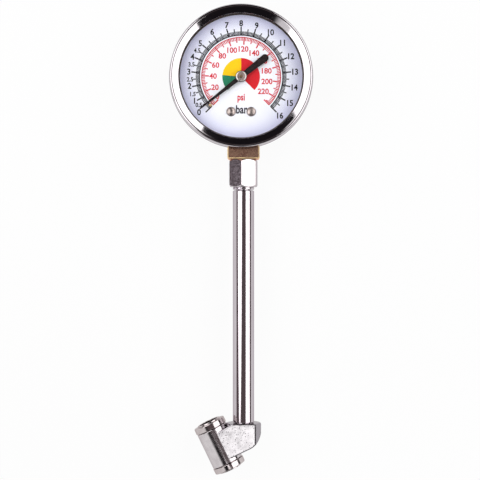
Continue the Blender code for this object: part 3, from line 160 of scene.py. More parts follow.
class Shape:
    """A mesh while it is being shaped, in millimetres."""

    def __init__(self) -> None:
        """Start with nothing."""
        self.bm = bmesh.new()

    @classmethod
    def turned(
        cls, profile: Sequence[Point], steps: int, closed: bool = True, rounding: int = 4
    ) -> Shape:
        """Spin a profile about Z.

        Args:
            profile: (radius, height) points.
            steps: facets in the full turn.
            closed: whether the last point joins the first.
            rounding: chords in a rounded corner.

        Returns:
            The turned shape.
        """
        shape = cls()
        verts = [shape.bm.verts.new((point[0], 0.0, point[1])) for point in profile]
        for ends in zip(verts, verts[1:] + verts[:1] if closed else verts[1:]):
            shape.bm.edges.new(ends)
        shape._round_corners(verts, profile, rounding)
        shape._spin(shape.bm.verts[:] + shape.bm.edges[:], 360.0, steps, use_merge=True)
        return shape.tidied()

    @classmethod
    def plate(cls, outline: Sequence[Point], low: float, high: float, rounding: int = 6) -> Shape:
        """Lift an outline into a plate.

        Args:
            outline: (x, y) points.
            low: height of the plate's under side.
            high: height of its upper side.
            rounding: chords in a rounded corner.

        Returns:
            The plate.
        """
        shape = cls()
        verts = [shape.bm.verts.new((point[0], point[1], low)) for point in outline]
        shape.bm.faces.new(verts)
        shape._round_corners(verts, outline, rounding)
        return shape.lifted(high - low)

    @classmethod
    def swept(
        cls, outlines: Sequence[Sequence[Point]], sweep: float, climb: float = 0.0, steps: int = 96
    ) -> Shape:
        """Bend a bar or a tube round Z.

        Args:
            outlines: its section's outline and, for a tube, its bore's, as (radius, height) points.
            sweep: how far round it goes.
            climb: how far it rises on the way.
            steps: chords on the way.

        Returns:
            The closed shape.
        """
        shape = cls()
        first, last = [], []
        for outline in outlines:
            verts = [shape.bm.verts.new((radius, 0.0, height)) for radius, height in outline]
            edges = [shape.bm.edges.new(pair) for pair in zip(verts, verts[1:] + verts[:1])]
            swung = shape._spin(verts + edges, sweep, steps, dvec=(0.0, 0.0, climb / steps))
            first.extend(edges)
            last.extend(item for item in swung if isinstance(item, bmesh.types.BMEdge))
        close = bmesh.ops.bridge_loops if len(outlines) > 1 else bmesh.ops.edgeloop_fill
        for rim in (first, last):
            close(shape.bm, edges=rim)
        return shape.tidied()

    @classmethod
    def wedge(cls, ring: Point, ends: Point, heights: Point, chord: float = 1.5) -> Shape:
        """Sweep a flat sector of a ring round the dial.

        Args:
            ring: inner and outer radius.
            ends: clock angles of its first and last edge.
            heights: heights of its under side and its upper side.
            chord: about how many degrees one chord spans.

        Returns:
            The sector as a thin plate.
        """
        shape = cls()
        first = [shape.bm.verts.new((*clock(ends[0], radius), heights[0])) for radius in ring]
        edge = shape.bm.edges.new(first)
        sweep = ends[1] - ends[0]
        shape._spin([*first, edge], -sweep, max(1, round(sweep / chord)))
        return shape.lifted(heights[1] - heights[0])

    def _spin(self, geom: list[Any], angle: float, steps: int, **options: Any) -> list[Any]:
        """Spin vertices and edges about Z.

        Args:
            geom: what is spun.
            angle: how far it goes.
            steps: chords on the way.
            **options: other options of the spin.

        Returns:
            The last copy of what was spun.
        """
        spun = bmesh.ops.spin(
            self.bm,
            geom=geom,
            cent=(0.0, 0.0, 0.0),
            axis=(0.0, 0.0, 1.0),
            angle=math.radians(angle),
            steps=steps,
            **options,
        )
        return spun["geom_last"]

    def _bevel(self, geom: list[Any], width: float, segments: int, affect: str) -> None:
        """Round edges or corners.

        Args:
            geom: the edges or vertices.
            width: width of the rounding.
            segments: chords across it.
            affect: EDGES or VERTICES.
        """
        bmesh.ops.bevel(
            self.bm,
            geom=geom,
            offset=width,
            offset_type="OFFSET",
            segments=segments,
            profile=0.5,
            affect=affect,
            clamp_overlap=True,
            material=-1,
        )

    def _round_corners(self, verts: list[Any], points: Sequence[Point], rounding: int) -> None:
        """Round the corners whose points carry a third number.

        Args:
            verts: the outline's vertices.
            points: the points that they were made from.
            rounding: chords in a rounded corner.
        """
        for vert, point in zip(verts, points):
            if len(point) > 2 and point[2] > 0.0:
                self._bevel([vert], point[2], rounding, "VERTICES")

    def lifted(self, height: float) -> Shape:
        """Give a flat outline its thickness.

        Args:
            height: how far it is raised.

        Returns:
            The same shape.
        """
        grown = bmesh.ops.extrude_face_region(self.bm, geom=self.bm.faces[:])
        raised = [item for item in grown["geom"] if isinstance(item, bmesh.types.BMVert)]
        bmesh.ops.translate(self.bm, verts=raised, vec=(0.0, 0.0, height))
        return self.tidied()

    def tidied(self) -> Shape:
        """Merge doubles and turn the faces outwards.

        Returns:
            The same shape.
        """
        bmesh.ops.remove_doubles(self.bm, verts=self.bm.verts[:], dist=MERGE)
        bmesh.ops.recalc_face_normals(self.bm, faces=self.bm.faces[:])
        return self

    def softened(self, width: float, segments: int, least_angle: float) -> Shape:
        """Break the sharp edges.

        Args:
            width: width of the broken edge.
            segments: chords across it.
            least_angle: edges that turn less than this are left.

        Returns:
            The same shape.
        """
        limit = math.radians(least_angle)
        edges = [edge for edge in self.bm.edges if len(edge.link_faces) == 2]
        self._bevel([edge for edge in edges if edge.calc_face_angle() > limit], width, segments, "EDGES")
        return self

    def planed(self, point: Point, normal: Point) -> Shape:
        """Plane away what lies beyond a plane and close the cut.

        Args:
            point: a point on the plane.
            normal: the side that is taken away.

        Returns:
            The same shape.
        """
        bmesh.ops.bisect_plane(
            self.bm,
            geom=self.bm.verts[:] + self.bm.edges[:] + self.bm.faces[:],
            dist=MERGE,
            plane_co=point,
            plane_no=normal,
            clear_outer=True,
        )
        open_edges = [edge for edge in self.bm.edges if edge.is_boundary]
        if open_edges:
            bmesh.ops.holes_fill(self.bm, edges=open_edges, sides=0)
        return self

    def moved(self, matrix: Matrix) -> Shape:
        """Place the shape by a matrix in millimetres."""
        bmesh.ops.transform(self.bm, matrix=matrix, verts=self.bm.verts[:])
        return self

    def joined(self, *others: Shape) -> Shape:
        """Add other shapes, which are used up.

        Args:
            *others: the other shapes.

        Returns:
            The same shape.
        """
        for other in others:
            scrap = bpy.data.meshes.new("scrap")
            other.bm.to_mesh(scrap)
            other.bm.free()
            self.bm.from_mesh(scrap)
            bpy.data.meshes.remove(scrap)
        return self

    def mesh(self, name: str, sharp: float = SHARP) -> bpy.types.Mesh:
        """Store the shape in metres, smooth over its gentle edges.

        Args:
            name: the mesh's name.
            sharp: edges that turn more than this stay sharp.

        Returns:
            The stored mesh.
        """
        bmesh.ops.scale(self.bm, vec=(MM, MM, MM), verts=self.bm.verts[:])
        stored = bpy.data.meshes.new(name)
        self.bm.to_mesh(stored)
        self.bm.free()
        stored.shade_smooth()
        stored.set_sharp_from_angle(angle=math.radians(sharp))
        return stored


def linked(name: str, data: Any) -> bpy.types.Object:
    """Put a new object into the scene.

    Args:
        name: its name.
        data: its mesh, text, lamp or camera.

    Returns:
        The object.
    """
    made = bpy.data.objects.new(name, data)
    bpy.context.scene.collection.objects.link(made)
    return made


def evaluated(worker: bpy.types.Object) -> bpy.types.Mesh:
    """The mesh that an object's text or modifiers come to."""
    bpy.context.view_layer.update()
    return bpy.data.meshes.new_from_object(worker.evaluated_get(bpy.context.evaluated_depsgraph_get()))


@dataclass(frozen=True)
class Lettering:
    """Printed figures of one size.

    Attributes:
        height: height of a figure.
        narrow: width as a share of the font's own.
        weight: how far the strokes are thickened.
        cap_share: height of a figure as a share of the font's size.
    """

    height: float
    narrow: float
    weight: float
    cap_share: float = 0.7

    def stamp(self, text: str, centre: Point, low: float, thickness: float) -> Shape:
        """Print a word as a thin solid.

        Args:
            text: the figures or letters.
            centre: middle of the printed word.
            low: height of its under side.
            thickness: thickness of the ink.

        Returns:
            The printed word.
        """
        curve = bpy.data.curves.new("lettering", "FONT")
        curve.body = text
        curve.size = self.height / self.cap_share
        curve.offset = self.weight
        curve.extrude = thickness / 2
        curve.resolution_u = 3
        flat = evaluated(linked("lettering", curve))
        shape = Shape()
        shape.bm.from_mesh(flat)
        bpy.data.curves.remove(curve)
        bpy.data.meshes.remove(flat)
        xs = [vert.co.x for vert in shape.bm.verts]
        ys = [vert.co.y for vert in shape.bm.verts]
        middle = Vector(((min(xs) + max(xs)) / 2, (min(ys) + max(ys)) / 2, -thickness / 2))
        squeeze = Matrix.Diagonal((self.narrow, 1.0, 1.0, 1.0))
        place = Matrix.Translation((centre[0], centre[1], low))
        return shape.moved(place @ squeeze @ Matrix.Translation(-middle)).tidied()


def machined(name: str, blank: Shape, steps: Sequence[tuple[Cut, Shape]]) -> bpy.types.Mesh:
    """Join tools to a blank and bore it with others.

    Args:
        name: the mesh's name.
        blank: the shape that is worked on.
        steps: what each tool does, in order.

    Returns:
        The worked mesh, in metres.
    """
    work = linked(name, blank.mesh(name))
    tools = []
    for number, (cut, shape) in enumerate(steps):
        label = f"{name}_tool_{number}"
        tools.append(linked(label, shape.mesh(label)))
        modifier = work.modifiers.new(label, "BOOLEAN")
        modifier.operation = cut.value
        modifier.solver = "EXACT"
        modifier.object = tools[-1]
    worked = evaluated(work)
    for used in (work, *tools):
        bpy.data.meshes.remove(used.data)
    return worked


# Finishes


class Graph:
    """Adds nodes to a node tree and joins them."""

    def __init__(self, tree: bpy.types.NodeTree) -> None:
        """Work on a tree."""
        self.tree = tree

    def feed(self, node: bpy.types.Node, inputs: dict[Any, Any]) -> bpy.types.Node:
        """Set a node's inputs.

        Args:
            node: the node.
            inputs: a value, a colour or an output socket for each named or numbered input.

        Returns:
            The same node.
        """
        for key, value in inputs.items():
            socket = node.inputs[key]
            if isinstance(value, bpy.types.NodeSocket):
                self.tree.links.new(value, socket)
            elif socket.type == "RGBA":
                socket.default_value = (*value, 1.0)
            else:
                socket.default_value = value
        return node

    def add(self, kind: str, inputs: dict[Any, Any] | None = None, **settings: Any) -> bpy.types.Node:
        """Add a node.

        Args:
            kind: the node's type, without its "ShaderNode" start.
            inputs: what its inputs are fed with.
            **settings: the node's own settings.

        Returns:
            The node.
        """
        node = self.tree.nodes.new(f"ShaderNode{kind}")
        for key, value in settings.items():
            setattr(node, key, value)
        return self.feed(node, inputs or {})

    def math(self, operation: str, *values: Any) -> bpy.types.NodeSocket:
        """Add a Math node and return its output."""
        return self.add("Math", dict(enumerate(values)), operation=operation).outputs[0]

    def vector(self, operation: str, *values: Any) -> bpy.types.NodeSocketVector:
        """Add a Vector Math node and return the vector that it gives."""
        return self.add("VectorMath", dict(enumerate(values)), operation=operation).outputs["Vector"]

    def measure(self, operation: str, *values: Any) -> bpy.types.NodeSocketFloat:
        """Add a Vector Math node and return the number that it gives."""
        return self.add("VectorMath", dict(enumerate(values)), operation=operation).outputs["Value"]

    def largest(self, vector: Any) -> bpy.types.NodeSocket:
        """The largest of a vector's three parts."""
        parts = self.add("SeparateXYZ", {0: vector}).outputs
        return self.math("MAXIMUM", self.math("MAXIMUM", parts["X"], parts["Y"]), parts["Z"])

    def noise(self, place: Any, scale: Any, detail: float, roughness: float = 0.5) -> bpy.types.NodeSocket:
        """Add a Noise Texture node and return its value."""
        inputs = {"Vector": place, "Scale": scale, "Detail": detail, "Roughness": roughness}
        return self.add("TexNoise", inputs).outputs["Fac"]

    def ramp(self, value: Any, span: Point, to: Point = (0.0, 1.0)) -> bpy.types.NodeSocket:
        """Add a smooth, clamped Map Range node.

        Args:
            value: the value that is mapped.
            span: where the ramp starts and ends.
            to: what it gives there.

        Returns:
            The mapped value.
        """
        inputs = dict(enumerate((value, *span, *to)))
        return self.add("MapRange", inputs, interpolation_type="SMOOTHSTEP").outputs[0]

    def blend(self, share: Any, first: Any, second: Any) -> bpy.types.NodeSocket:
        """Add a colour mix and return its output."""
        return self.add("Mix", {0: share, 6: first, 7: second}, data_type="RGBA").outputs[2]

    def place(self) -> bpy.types.NodeSocket:
        """Where on the piece a point is."""
        return self.add("TexCoord").outputs["Object"]

    def facing(self) -> bpy.types.NodeSocket:
        """The way that a face faces."""
        return self.add("NewGeometry").outputs["True Normal"]

    def off_axis(self, place: Any) -> bpy.types.NodeSocket:
        """How far a point is from the dial's axis."""
        return self.measure("LENGTH", self.vector("MULTIPLY", place, (1.0, 1.0, 0.0)))

    def effect(self, tree: bpy.types.NodeTree, vector: Any, scale: float) -> Any:
        """Place a shared effect and return its outputs."""
        return self.add("Group", {"Vector": vector, "Scale": scale}, node_tree=tree).outputs


def new_group(name: str, outputs: Sequence[str]) -> tuple[Graph, Any, Any]:
    """Start a shader node group that is given a place and a scale.

    Args:
        name: the group's name.
        outputs: names of the values that it puts out.

    Returns:
        The graph to build in, what the group is given, and its output node.
    """
    tree = bpy.data.node_groups.new(name, "ShaderNodeTree")
    for label, kind in (("Vector", "Vector"), ("Scale", "Float")):
        tree.interface.new_socket(label, in_out="INPUT", socket_type=f"NodeSocket{kind}")
    for label in outputs:
        tree.interface.new_socket(label, in_out="OUTPUT", socket_type="NodeSocketFloat")
    return Graph(tree), tree.nodes.new("NodeGroupInput").outputs, tree.nodes.new("NodeGroupOutput")


def surface_grain() -> bpy.types.NodeTree:
    """Blotches, fine grain and pits over a surface, as a group that is made once.

    Returns:
        The group.
    """
    name = "surface_grain"
    if name in bpy.data.node_groups:
        return bpy.data.node_groups[name]
    graph, given, put = new_group(name, ("Blotch", "Fine", "Pits"))
    fine, pit = (graph.math("MULTIPLY", given["Scale"], times) for times in (9.0, 5.0))
    cells = graph.add("TexVoronoi", {"Vector": given["Vector"], "Scale": pit, "Randomness": 1.0}).outputs
    dents = graph.ramp(cells["Distance"], (0.12, 0.42), (1.0, 0.0))
    chance = graph.add("SeparateColor", {0: cells["Color"]}).outputs["Red"]
    found = {
        "Blotch": graph.noise(given["Vector"], given["Scale"], 4.0, 0.6),
        "Fine": graph.noise(given["Vector"], fine, 2.0),
        "Pits": graph.math("MULTIPLY", dents, graph.ramp(chance, (0.55, 0.7))),
    }
    graph.feed(put, found)
    return graph.tree


def edge_wear() -> bpy.types.NodeTree:
    """Edges, broken up by noise, as a group that is made once: rubbed wear, and on the dial painted shade.

    Returns:
        The group.
    """
    name = "edge_wear"
    if name in bpy.data.node_groups:
        return bpy.data.node_groups[name]
    graph, given, put = new_group(name, ("Edge",))
    edge = graph.ramp(graph.add("NewGeometry").outputs["Pointiness"], (0.515, 0.58))
    patchy = graph.noise(given["Vector"], given["Scale"], 3.0)
    graph.feed(put, {"Edge": graph.math("MULTIPLY", edge, graph.ramp(patchy, (0.3, 0.65), (0.25, 1.0)))})
    return graph.tree


@dataclass(frozen=True)
class Tint:
    """A colour painted on only part of a surface, standing for light or shade that falls there.

    Attributes:
        colour: the colour.
        span: both ends of its soft edge, on what the tint goes by.
    """

    colour: Colour
    span: Point

    def tone(self, graph: Graph, place: Any) -> Any:
        """The tint's colour."""
        return self.colour

    def share(self, graph: Graph, place: Any) -> bpy.types.NodeSocket:
        """How much of the tint a point or a face has."""
        raise NotImplementedError


@dataclass(frozen=True)
class OuterRing(Tint):
    """The outside of a round face; the span is two radii."""

    def share(self, graph: Graph, place: Any) -> bpy.types.NodeSocket:
        """How much of the tint a point has, by its distance from the dial's axis."""
        return graph.ramp(graph.off_axis(place), tuple(radius * MM for radius in self.span))


@dataclass(frozen=True)
class DullFlat(Tint):
    """A flat that faces one way, painted darker as shade, with bright grains.

    Attributes:
        way: the way that it faces.
        brighter: how much brighter its grains are.
        grains: how many are in a millimetre.
    """

    way: Point = (-0.616, 0.0, 0.788)
    brighter: float = 3.0
    grains: float = 2.2

    def tone(self, graph: Graph, place: Any) -> Any:
        """The tint's colour, with its bright grains."""
        fine = graph.ramp(graph.noise(place, self.grains / MM, 2.0), (0.42, 0.66))
        return graph.blend(fine, self.colour, [min(1.0, self.brighter * part) for part in self.colour])

    def share(self, graph: Graph, place: Any) -> bpy.types.NodeSocket:
        """How much of the tint a face has, by how nearly it faces the flat's way."""
        return graph.ramp(graph.measure("DOT_PRODUCT", graph.facing(), self.way), self.span)


@dataclass(frozen=True)
class Sides(Tint):
    """Painted shade on what isn't level."""

    def share(self, graph: Graph, place: Any) -> bpy.types.NodeSocket:
        """How much of the tint a face has, by how level it is."""
        level = graph.math("ABSOLUTE", graph.add("SeparateXYZ", {0: graph.facing()}).outputs["Z"])
        return graph.ramp(level, self.span, (1.0, 0.0))


@dataclass(frozen=True)
class Chamfers(Tint):
    """Painted highlight on what isn't square to the frame's axes."""

    def share(self, graph: Graph, place: Any) -> bpy.types.NodeSocket:
        """How much of the tint a face has, by how square it is."""
        square = graph.largest(graph.vector("ABSOLUTE", graph.facing()))
        return graph.ramp(square, self.span, (1.0, 0.0))


@dataclass(frozen=True)
class Finish:
    """A surface finish: two tones of one colour, two roughnesses and the grain that mixes them.

    Attributes:
        name: the material's name.
        pale: colour of the clean surface.
        deep: colour where it is stained, worn thin or shaded by its grain.
        rough: least and greatest roughness.
        grain: blotches in a millimetre.
        relief: depths of the fine grain, of the pits and of the slow unevenness.
        stain: share of the deep tone in the blotches.
        speck: share of the deep tone in the pits, as painted shade.
        lean: slope of the casting's draft, up the stem.
        rub: colour of the rubbed edges; on the dial, painted shade at its edges.
        tints: painted light and shade on parts of the surface.
        run: the way that drawing lines run.
        metal: 1 for bare or plated metal.
        coat: weight of a clear top coat.
        coat_rough: its roughness.
        gloss: strength of the reflection of what isn't metal.
        glance: how much brighter metal is at a glancing angle.
        bounce_rough: least roughness that light from other pieces meets.
        swells: slow swells in a millimetre.
    """

    name: str
    pale: Colour
    deep: Colour
    rough: Point
    grain: float = 0.5
    relief: Point = (0.0, 0.0, 0.0)
    stain: float = 0.6
    speck: float = 0.5
    lean: float = 0.0
    rub: Colour | None = None
    tints: tuple[Tint, ...] = ()
    run: Axis = Axis.NONE
    metal: float = 1.0
    coat: float = 0.0
    coat_rough: float = 0.12
    gloss: float = 0.5
    glance: float = 1.12
    bounce_rough: float = 0.6
    swells: float = 0.16

    def material(self) -> bpy.types.Material:
        """Find the finish's material, or make it.

        Returns:
            The material.
        """
        if self.name in bpy.data.materials:
            return bpy.data.materials[self.name]
        made = bpy.data.materials.new(self.name)
        made.use_nodes = True
        self._build(Graph(made.node_tree), made.node_tree.nodes["Principled BSDF"])
        return made

    def _build(self, graph: Graph, shader: bpy.types.Node) -> None:
        """Build the material's nodes.

        Args:
            graph: the material's graph.
            shader: its Principled node.
        """
        place = graph.place()
        spread = graph.add("Mapping", {"Vector": place, "Scale": self.run.value}).outputs["Vector"]
        grain = graph.effect(surface_grain(), spread, self.grain / MM)
        share = graph.ramp(grain["Blotch"], (0.35, 0.7), (0.0, self.stain))
        # The pits take the deep tone as painted shade.
        share = graph.math("MAXIMUM", share, graph.math("MULTIPLY", grain["Pits"], self.speck))
        colour = graph.blend(share, self.pale, self.deep)
        # Edges take their own colour: rubbed wear, and on the dial painted shade.
        if self.rub is not None:
            edge = graph.effect(edge_wear(), place, self.grain / MM)["Edge"]
            colour = graph.blend(edge, colour, self.rub)
        # Each tint paints a highlight or a shade over the faces that it picks.
        for tint in self.tints:
            colour = graph.blend(tint.share(graph, place), colour, tint.tone(graph, place))
        mottle = graph.math("ADD", graph.math("MULTIPLY", grain["Fine"], 0.5), grain["Blotch"])
        bounced = graph.add("LightPath").outputs["Is Diffuse Ray"]
        least = graph.math("MULTIPLY", bounced, self.bounce_rough)
        inputs = {
            "Base Color": colour,
            "Roughness": graph.math("MAXIMUM", graph.ramp(mottle, (0.5, 1.0), self.rough), least),
            "Metallic": self.metal,
            "Specular IOR Level": self.gloss,
            "Coat Weight": self.coat,
            "Coat Roughness": self.coat_rough,
        }
        if self.metal:
            inputs["Specular Tint"] = [min(1.0, channel * self.glance) for channel in self.pale]
        normal = self._relief(graph, place, spread, grain)
        if normal is not None:
            inputs["Normal"] = normal
        graph.feed(shader, inputs)

    def _relief(self, graph: Graph, place: Any, spread: Any, grain: Any) -> bpy.types.NodeSocket | None:
        """Chain the bumps of the fine grain, the pits, the slow unevenness and the draft.

        Args:
            graph: the material's graph.
            place: Object coordinates.
            spread: the same, stretched along the drawing lines.
            grain: the grain's outputs.

        Returns:
            The bent normal, or None for a surface without relief.
        """
        fine, pits, wave = self.relief
        heights = [(grain["Fine"], fine), (grain["Pits"], -pits)]
        if wave:
            heights.append((graph.noise(spread, self.swells / MM, 1.0), wave))
        if self.lean:
            heights.append((graph.add("SeparateXYZ", {0: place}).outputs["Y"], self.lean / MM))
        normal = None
        for height, depth in heights:
            if depth:
                inputs = {"Height": height, "Distance": abs(depth) * MM, "Strength": 1.0}
                if normal is not None:
                    inputs["Normal"] = normal
                normal = graph.add("Bump", inputs, invert=depth < 0).outputs["Normal"]
        return normal


@dataclass(frozen=True)
class ClearPane(Finish):
    """Clear plastic that lets the lamps reach what is behind it.

    Attributes:
        bending: its index of refraction.
    """

    bending: float = 1.49

    def _build(self, graph: Graph, shader: bpy.types.Node) -> None:
        """Build the material's nodes.

        Args:
            graph: the material's graph.
            shader: its Principled node.
        """
        grain = graph.effect(surface_grain(), graph.place(), self.grain / MM)
        inputs = {
            "Base Color": self.pale,
            "Roughness": graph.ramp(grain["Blotch"], (0.4, 0.7), self.rough),
            "Metallic": self.metal,
            "Transmission Weight": 1.0,
            "IOR": self.bending,
            "Specular IOR Level": self.gloss,
        }
        graph.feed(shader, inputs)
        lamps = graph.add("LightPath").outputs["Is Shadow Ray"]
        through = graph.add("BsdfTransparent", {"Color": self.deep}).outputs["BSDF"]
        mixed = graph.add("MixShader", {0: lamps, 1: shader.outputs["BSDF"], 2: through})
        graph.feed(graph.tree.nodes["Material Output"], {"Surface": mixed.outputs["Shader"]})


def ink(name: str, pale: Colour, deep: Colour) -> Finish:
    """A printed ink, whose deep colour shows where it is thin or mottled."""
    thin = (0.002, 0.0, 0.0)
    return Finish(name, pale, deep, (0.38, 0.55), 1.4, thin, stain=0.5, metal=0.0, gloss=0.02)


BEZEL_CHROME = Finish(
    "bezel_chrome", (0.57, 0.54, 0.56), (0.46, 0.42, 0.44),
    rough=(0.05, 0.1), grain=0.12, relief=(0.0004, 0.0006, 0.0015), stain=0.35,
)
TUBE_CHROME = Finish(
    "tube_chrome", (0.57, 0.53, 0.56), (0.43, 0.37, 0.39),
    rough=(0.06, 0.13), grain=0.35, relief=(0.0012, 0.0012, 0.006), stain=0.5, run=Axis.ALONG_STEM,
)
# Painted shade: faces of the casting that aren't level are darker, and its pits take the full deep tone.
CAST_CHROME = Finish(
    "cast_chrome", (0.64, 0.615, 0.63), (0.33, 0.31, 0.35),
    rough=(0.1, 0.2), grain=0.3, relief=(0.003, 0.012, 0.002), stain=0.06, speck=1.0, lean=0.07,
    tints=(Sides((0.36, 0.335, 0.36), (0.82, 0.97)),),
)
BARREL_CHROME = Finish(
    "barrel_chrome", (0.62, 0.585, 0.595), (0.44, 0.4, 0.42),
    rough=(0.12, 0.22), grain=0.3, relief=(0.0012, 0.0015, 0.002), stain=0.45, rub=(0.66, 0.62, 0.63),
)
CAP_CHROME = Finish(
    "cap_chrome", (0.58, 0.53, 0.53), (0.43, 0.37, 0.37),
    rough=(0.09, 0.18), grain=0.35, relief=(0.0015, 0.002, 0.002), stain=0.5, rub=(0.64, 0.59, 0.58),
)
# Painted shade: the hexagon's flats that face up and to the left are darker, with bright grains.
SATIN_NICKEL = Finish(
    "satin_nickel", (0.62, 0.58, 0.6), (0.46, 0.42, 0.45),
    rough=(0.14, 0.26), grain=0.9, relief=(0.002, 0.003, 0.001), stain=0.4, rub=(0.68, 0.63, 0.63),
    tints=(DullFlat((0.26, 0.23, 0.255), (0.7, 0.95)),),
)
WARM_NICKEL = Finish(
    "warm_nickel", (0.5, 0.43, 0.4), (0.3, 0.24, 0.22),
    rough=(0.24, 0.4), grain=0.8, relief=(0.002, 0.0015, 0.0),
)
# Painted light on the hub: a near-white painted highlight ring from about 2 mm out, and a near-black painted
# shade round its edge from about 2.4 mm.
HUB_NICKEL = Finish(
    "hub_nickel", (0.66, 0.55, 0.5), (0.46, 0.37, 0.34),
    rough=(0.24, 0.38), grain=0.9, relief=(0.002, 0.001, 0.0), run=Axis.ROUND_DIAL,
    tints=(
        OuterRing((0.98, 0.95, 0.92), (1.95, 2.03)),
        OuterRing((0.035, 0.03, 0.03), (2.36, 2.44)),
    ),
)
# Painted highlight: the square's chamfers are bright gold.
SQUARE_BRASS = Finish(
    "square_brass", (0.9, 0.57, 0.4), (0.34, 0.2, 0.14),
    rough=(0.16, 0.42), grain=0.42, relief=(0.008, 0.008, 0.006), stain=1.0,
    tints=(Chamfers((0.9, 0.66, 0.36), (0.85, 0.97)),),
)
MOVEMENT_BRASS = Finish(
    "movement_brass", (0.74, 0.54, 0.27), (0.5, 0.34, 0.16),
    rough=(0.2, 0.38), relief=(0.001, 0.001, 0.0), stain=0.5, rub=(0.85, 0.68, 0.38),
)
SPRING_BRONZE = Finish(
    "spring_bronze", (0.62, 0.4, 0.22), (0.36, 0.21, 0.12),
    rough=(0.25, 0.42), grain=0.4, relief=(0.001, 0.0, 0.0), stain=0.7,
)
BRIGHT_STEEL = Finish(
    "bright_steel", (0.56, 0.56, 0.58), (0.36, 0.35, 0.36),
    rough=(0.22, 0.4), grain=0.6, relief=(0.001, 0.001, 0.0),
)
PIN_BRASS = Finish(
    "pin_brass", (0.78, 0.58, 0.34), (0.5, 0.33, 0.18),
    rough=(0.18, 0.32), grain=0.9, relief=(0.001, 0.001, 0.0),
)
CASE_PLASTIC = Finish(
    "case_plastic", (0.022, 0.022, 0.024), (0.012, 0.012, 0.013),
    rough=(0.34, 0.52), grain=0.8, relief=(0.012, 0.0, 0.006), rub=(0.05, 0.05, 0.052), metal=0.0,
)
POINTER_PAINT = Finish(
    "pointer_paint", (0.012, 0.0095, 0.0105), (0.02, 0.015, 0.015),
    rough=(0.3, 0.48), grain=0.9, relief=(0.003, 0.0, 0.0), rub=(0.03, 0.024, 0.024), metal=0.0, gloss=0.03,
)
SEAL_RUBBER = Finish(
    "seal_rubber", (0.018, 0.018, 0.018), (0.035, 0.034, 0.033),
    rough=(0.6, 0.85), grain=1.2, relief=(0.012, 0.01, 0.0), metal=0.0,
)
GASKET_RUBBER = Finish(
    "gasket_rubber", (0.03, 0.02, 0.016), (0.05, 0.03, 0.022),
    rough=(0.45, 0.7), grain=0.9, relief=(0.006, 0.0, 0.0), metal=0.0,
)
# Painted shade: the dial turns lavender from 19 mm out to its rim, standing for the bezel's shadow. Its
# edges take the same painted shade.
DIAL_ENAMEL = Finish(
    "dial_enamel", (0.87, 0.88, 0.92), (0.82, 0.84, 0.9),
    rough=(0.3, 0.42), grain=0.25, relief=(0.001, 0.0, 0.002), stain=0.35, metal=0.0, coat=0.2,
    rub=(0.73, 0.735, 0.95), tints=(OuterRing((0.73, 0.735, 0.95), (19.0, 29.0)),),
)
WINDOW_PLASTIC = ClearPane(
    "window_plastic", (1.0, 1.0, 1.0), (0.95, 0.96, 0.975),
    rough=(0.0, 0.025), grain=0.06, metal=0.0, gloss=0.16,
)
BLACK_INK = ink("black_ink", (0.016, 0.015, 0.019), (0.04, 0.04, 0.05))
GREY_INK = ink("grey_ink", (0.035, 0.033, 0.045), (0.07, 0.07, 0.085))
RED_INK = ink("red_ink", (0.62, 0.03, 0.045), (0.68, 0.085, 0.1))
ZONE_GREEN = ink("zone_green", (0.02, 0.2, 0.105), (0.03, 0.24, 0.13))
ZONE_YELLOW = ink("zone_yellow", (0.93, 0.56, 0.008), (0.95, 0.6, 0.02))
ZONE_RED = ink("zone_red", (0.62, 0.016, 0.024), (0.66, 0.03, 0.036))


# Pieces


def install(
    name: str,
    work: Shape | bpy.types.Mesh,
    finish: Finish,
    body: Body | None,
    nodes: Sequence[str] = (),
    slot: str | None = None,
    sharp: float = SHARP,
) -> bpy.types.Object:
    """Add a finished piece to the scene, riding on its body.

    Args:
        name: the piece's name.
        work: its shape or its mesh, in place.
        finish: its finish.
        body: the CAD body that it rides on; none leaves it unattached.
        nodes: the CAD nodes that it stands for.
        slot: not used.
        sharp: edges of the shape that turn more than this stay sharp.

    Returns:
        The piece.
    """
    mesh = work.mesh(name, sharp) if isinstance(work, Shape) else work
    piece = linked(name, mesh)
    mesh.materials.clear()
    mesh.materials.append(finish.material())
    flats = piece.modifiers.new("flats", "WEIGHTED_NORMAL")
    flats.keep_sharp = True
    if body is not None:
        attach(piece, body.value)
    if nodes:
        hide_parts(*nodes)
    slot or nodes[0]
    LOG.info("%s: %d faces on %s", name, len(mesh.polygons), body.value if body else "two bodies")
    return piece


def dress(frame: Frame, finish: Finish, *names: str) -> None:
    """Give CAD nodes that keep their shape a finish.

    Args:
        frame: the loaded CAD frame.
        finish: their finish.
        *names: the nodes' names.
    """
    for name in names:
        for slot in frame["nodes"][name].material_slots:
            slot.material = finish.material()
        LOG.info("%s: CAD node in %s", name, finish.name)


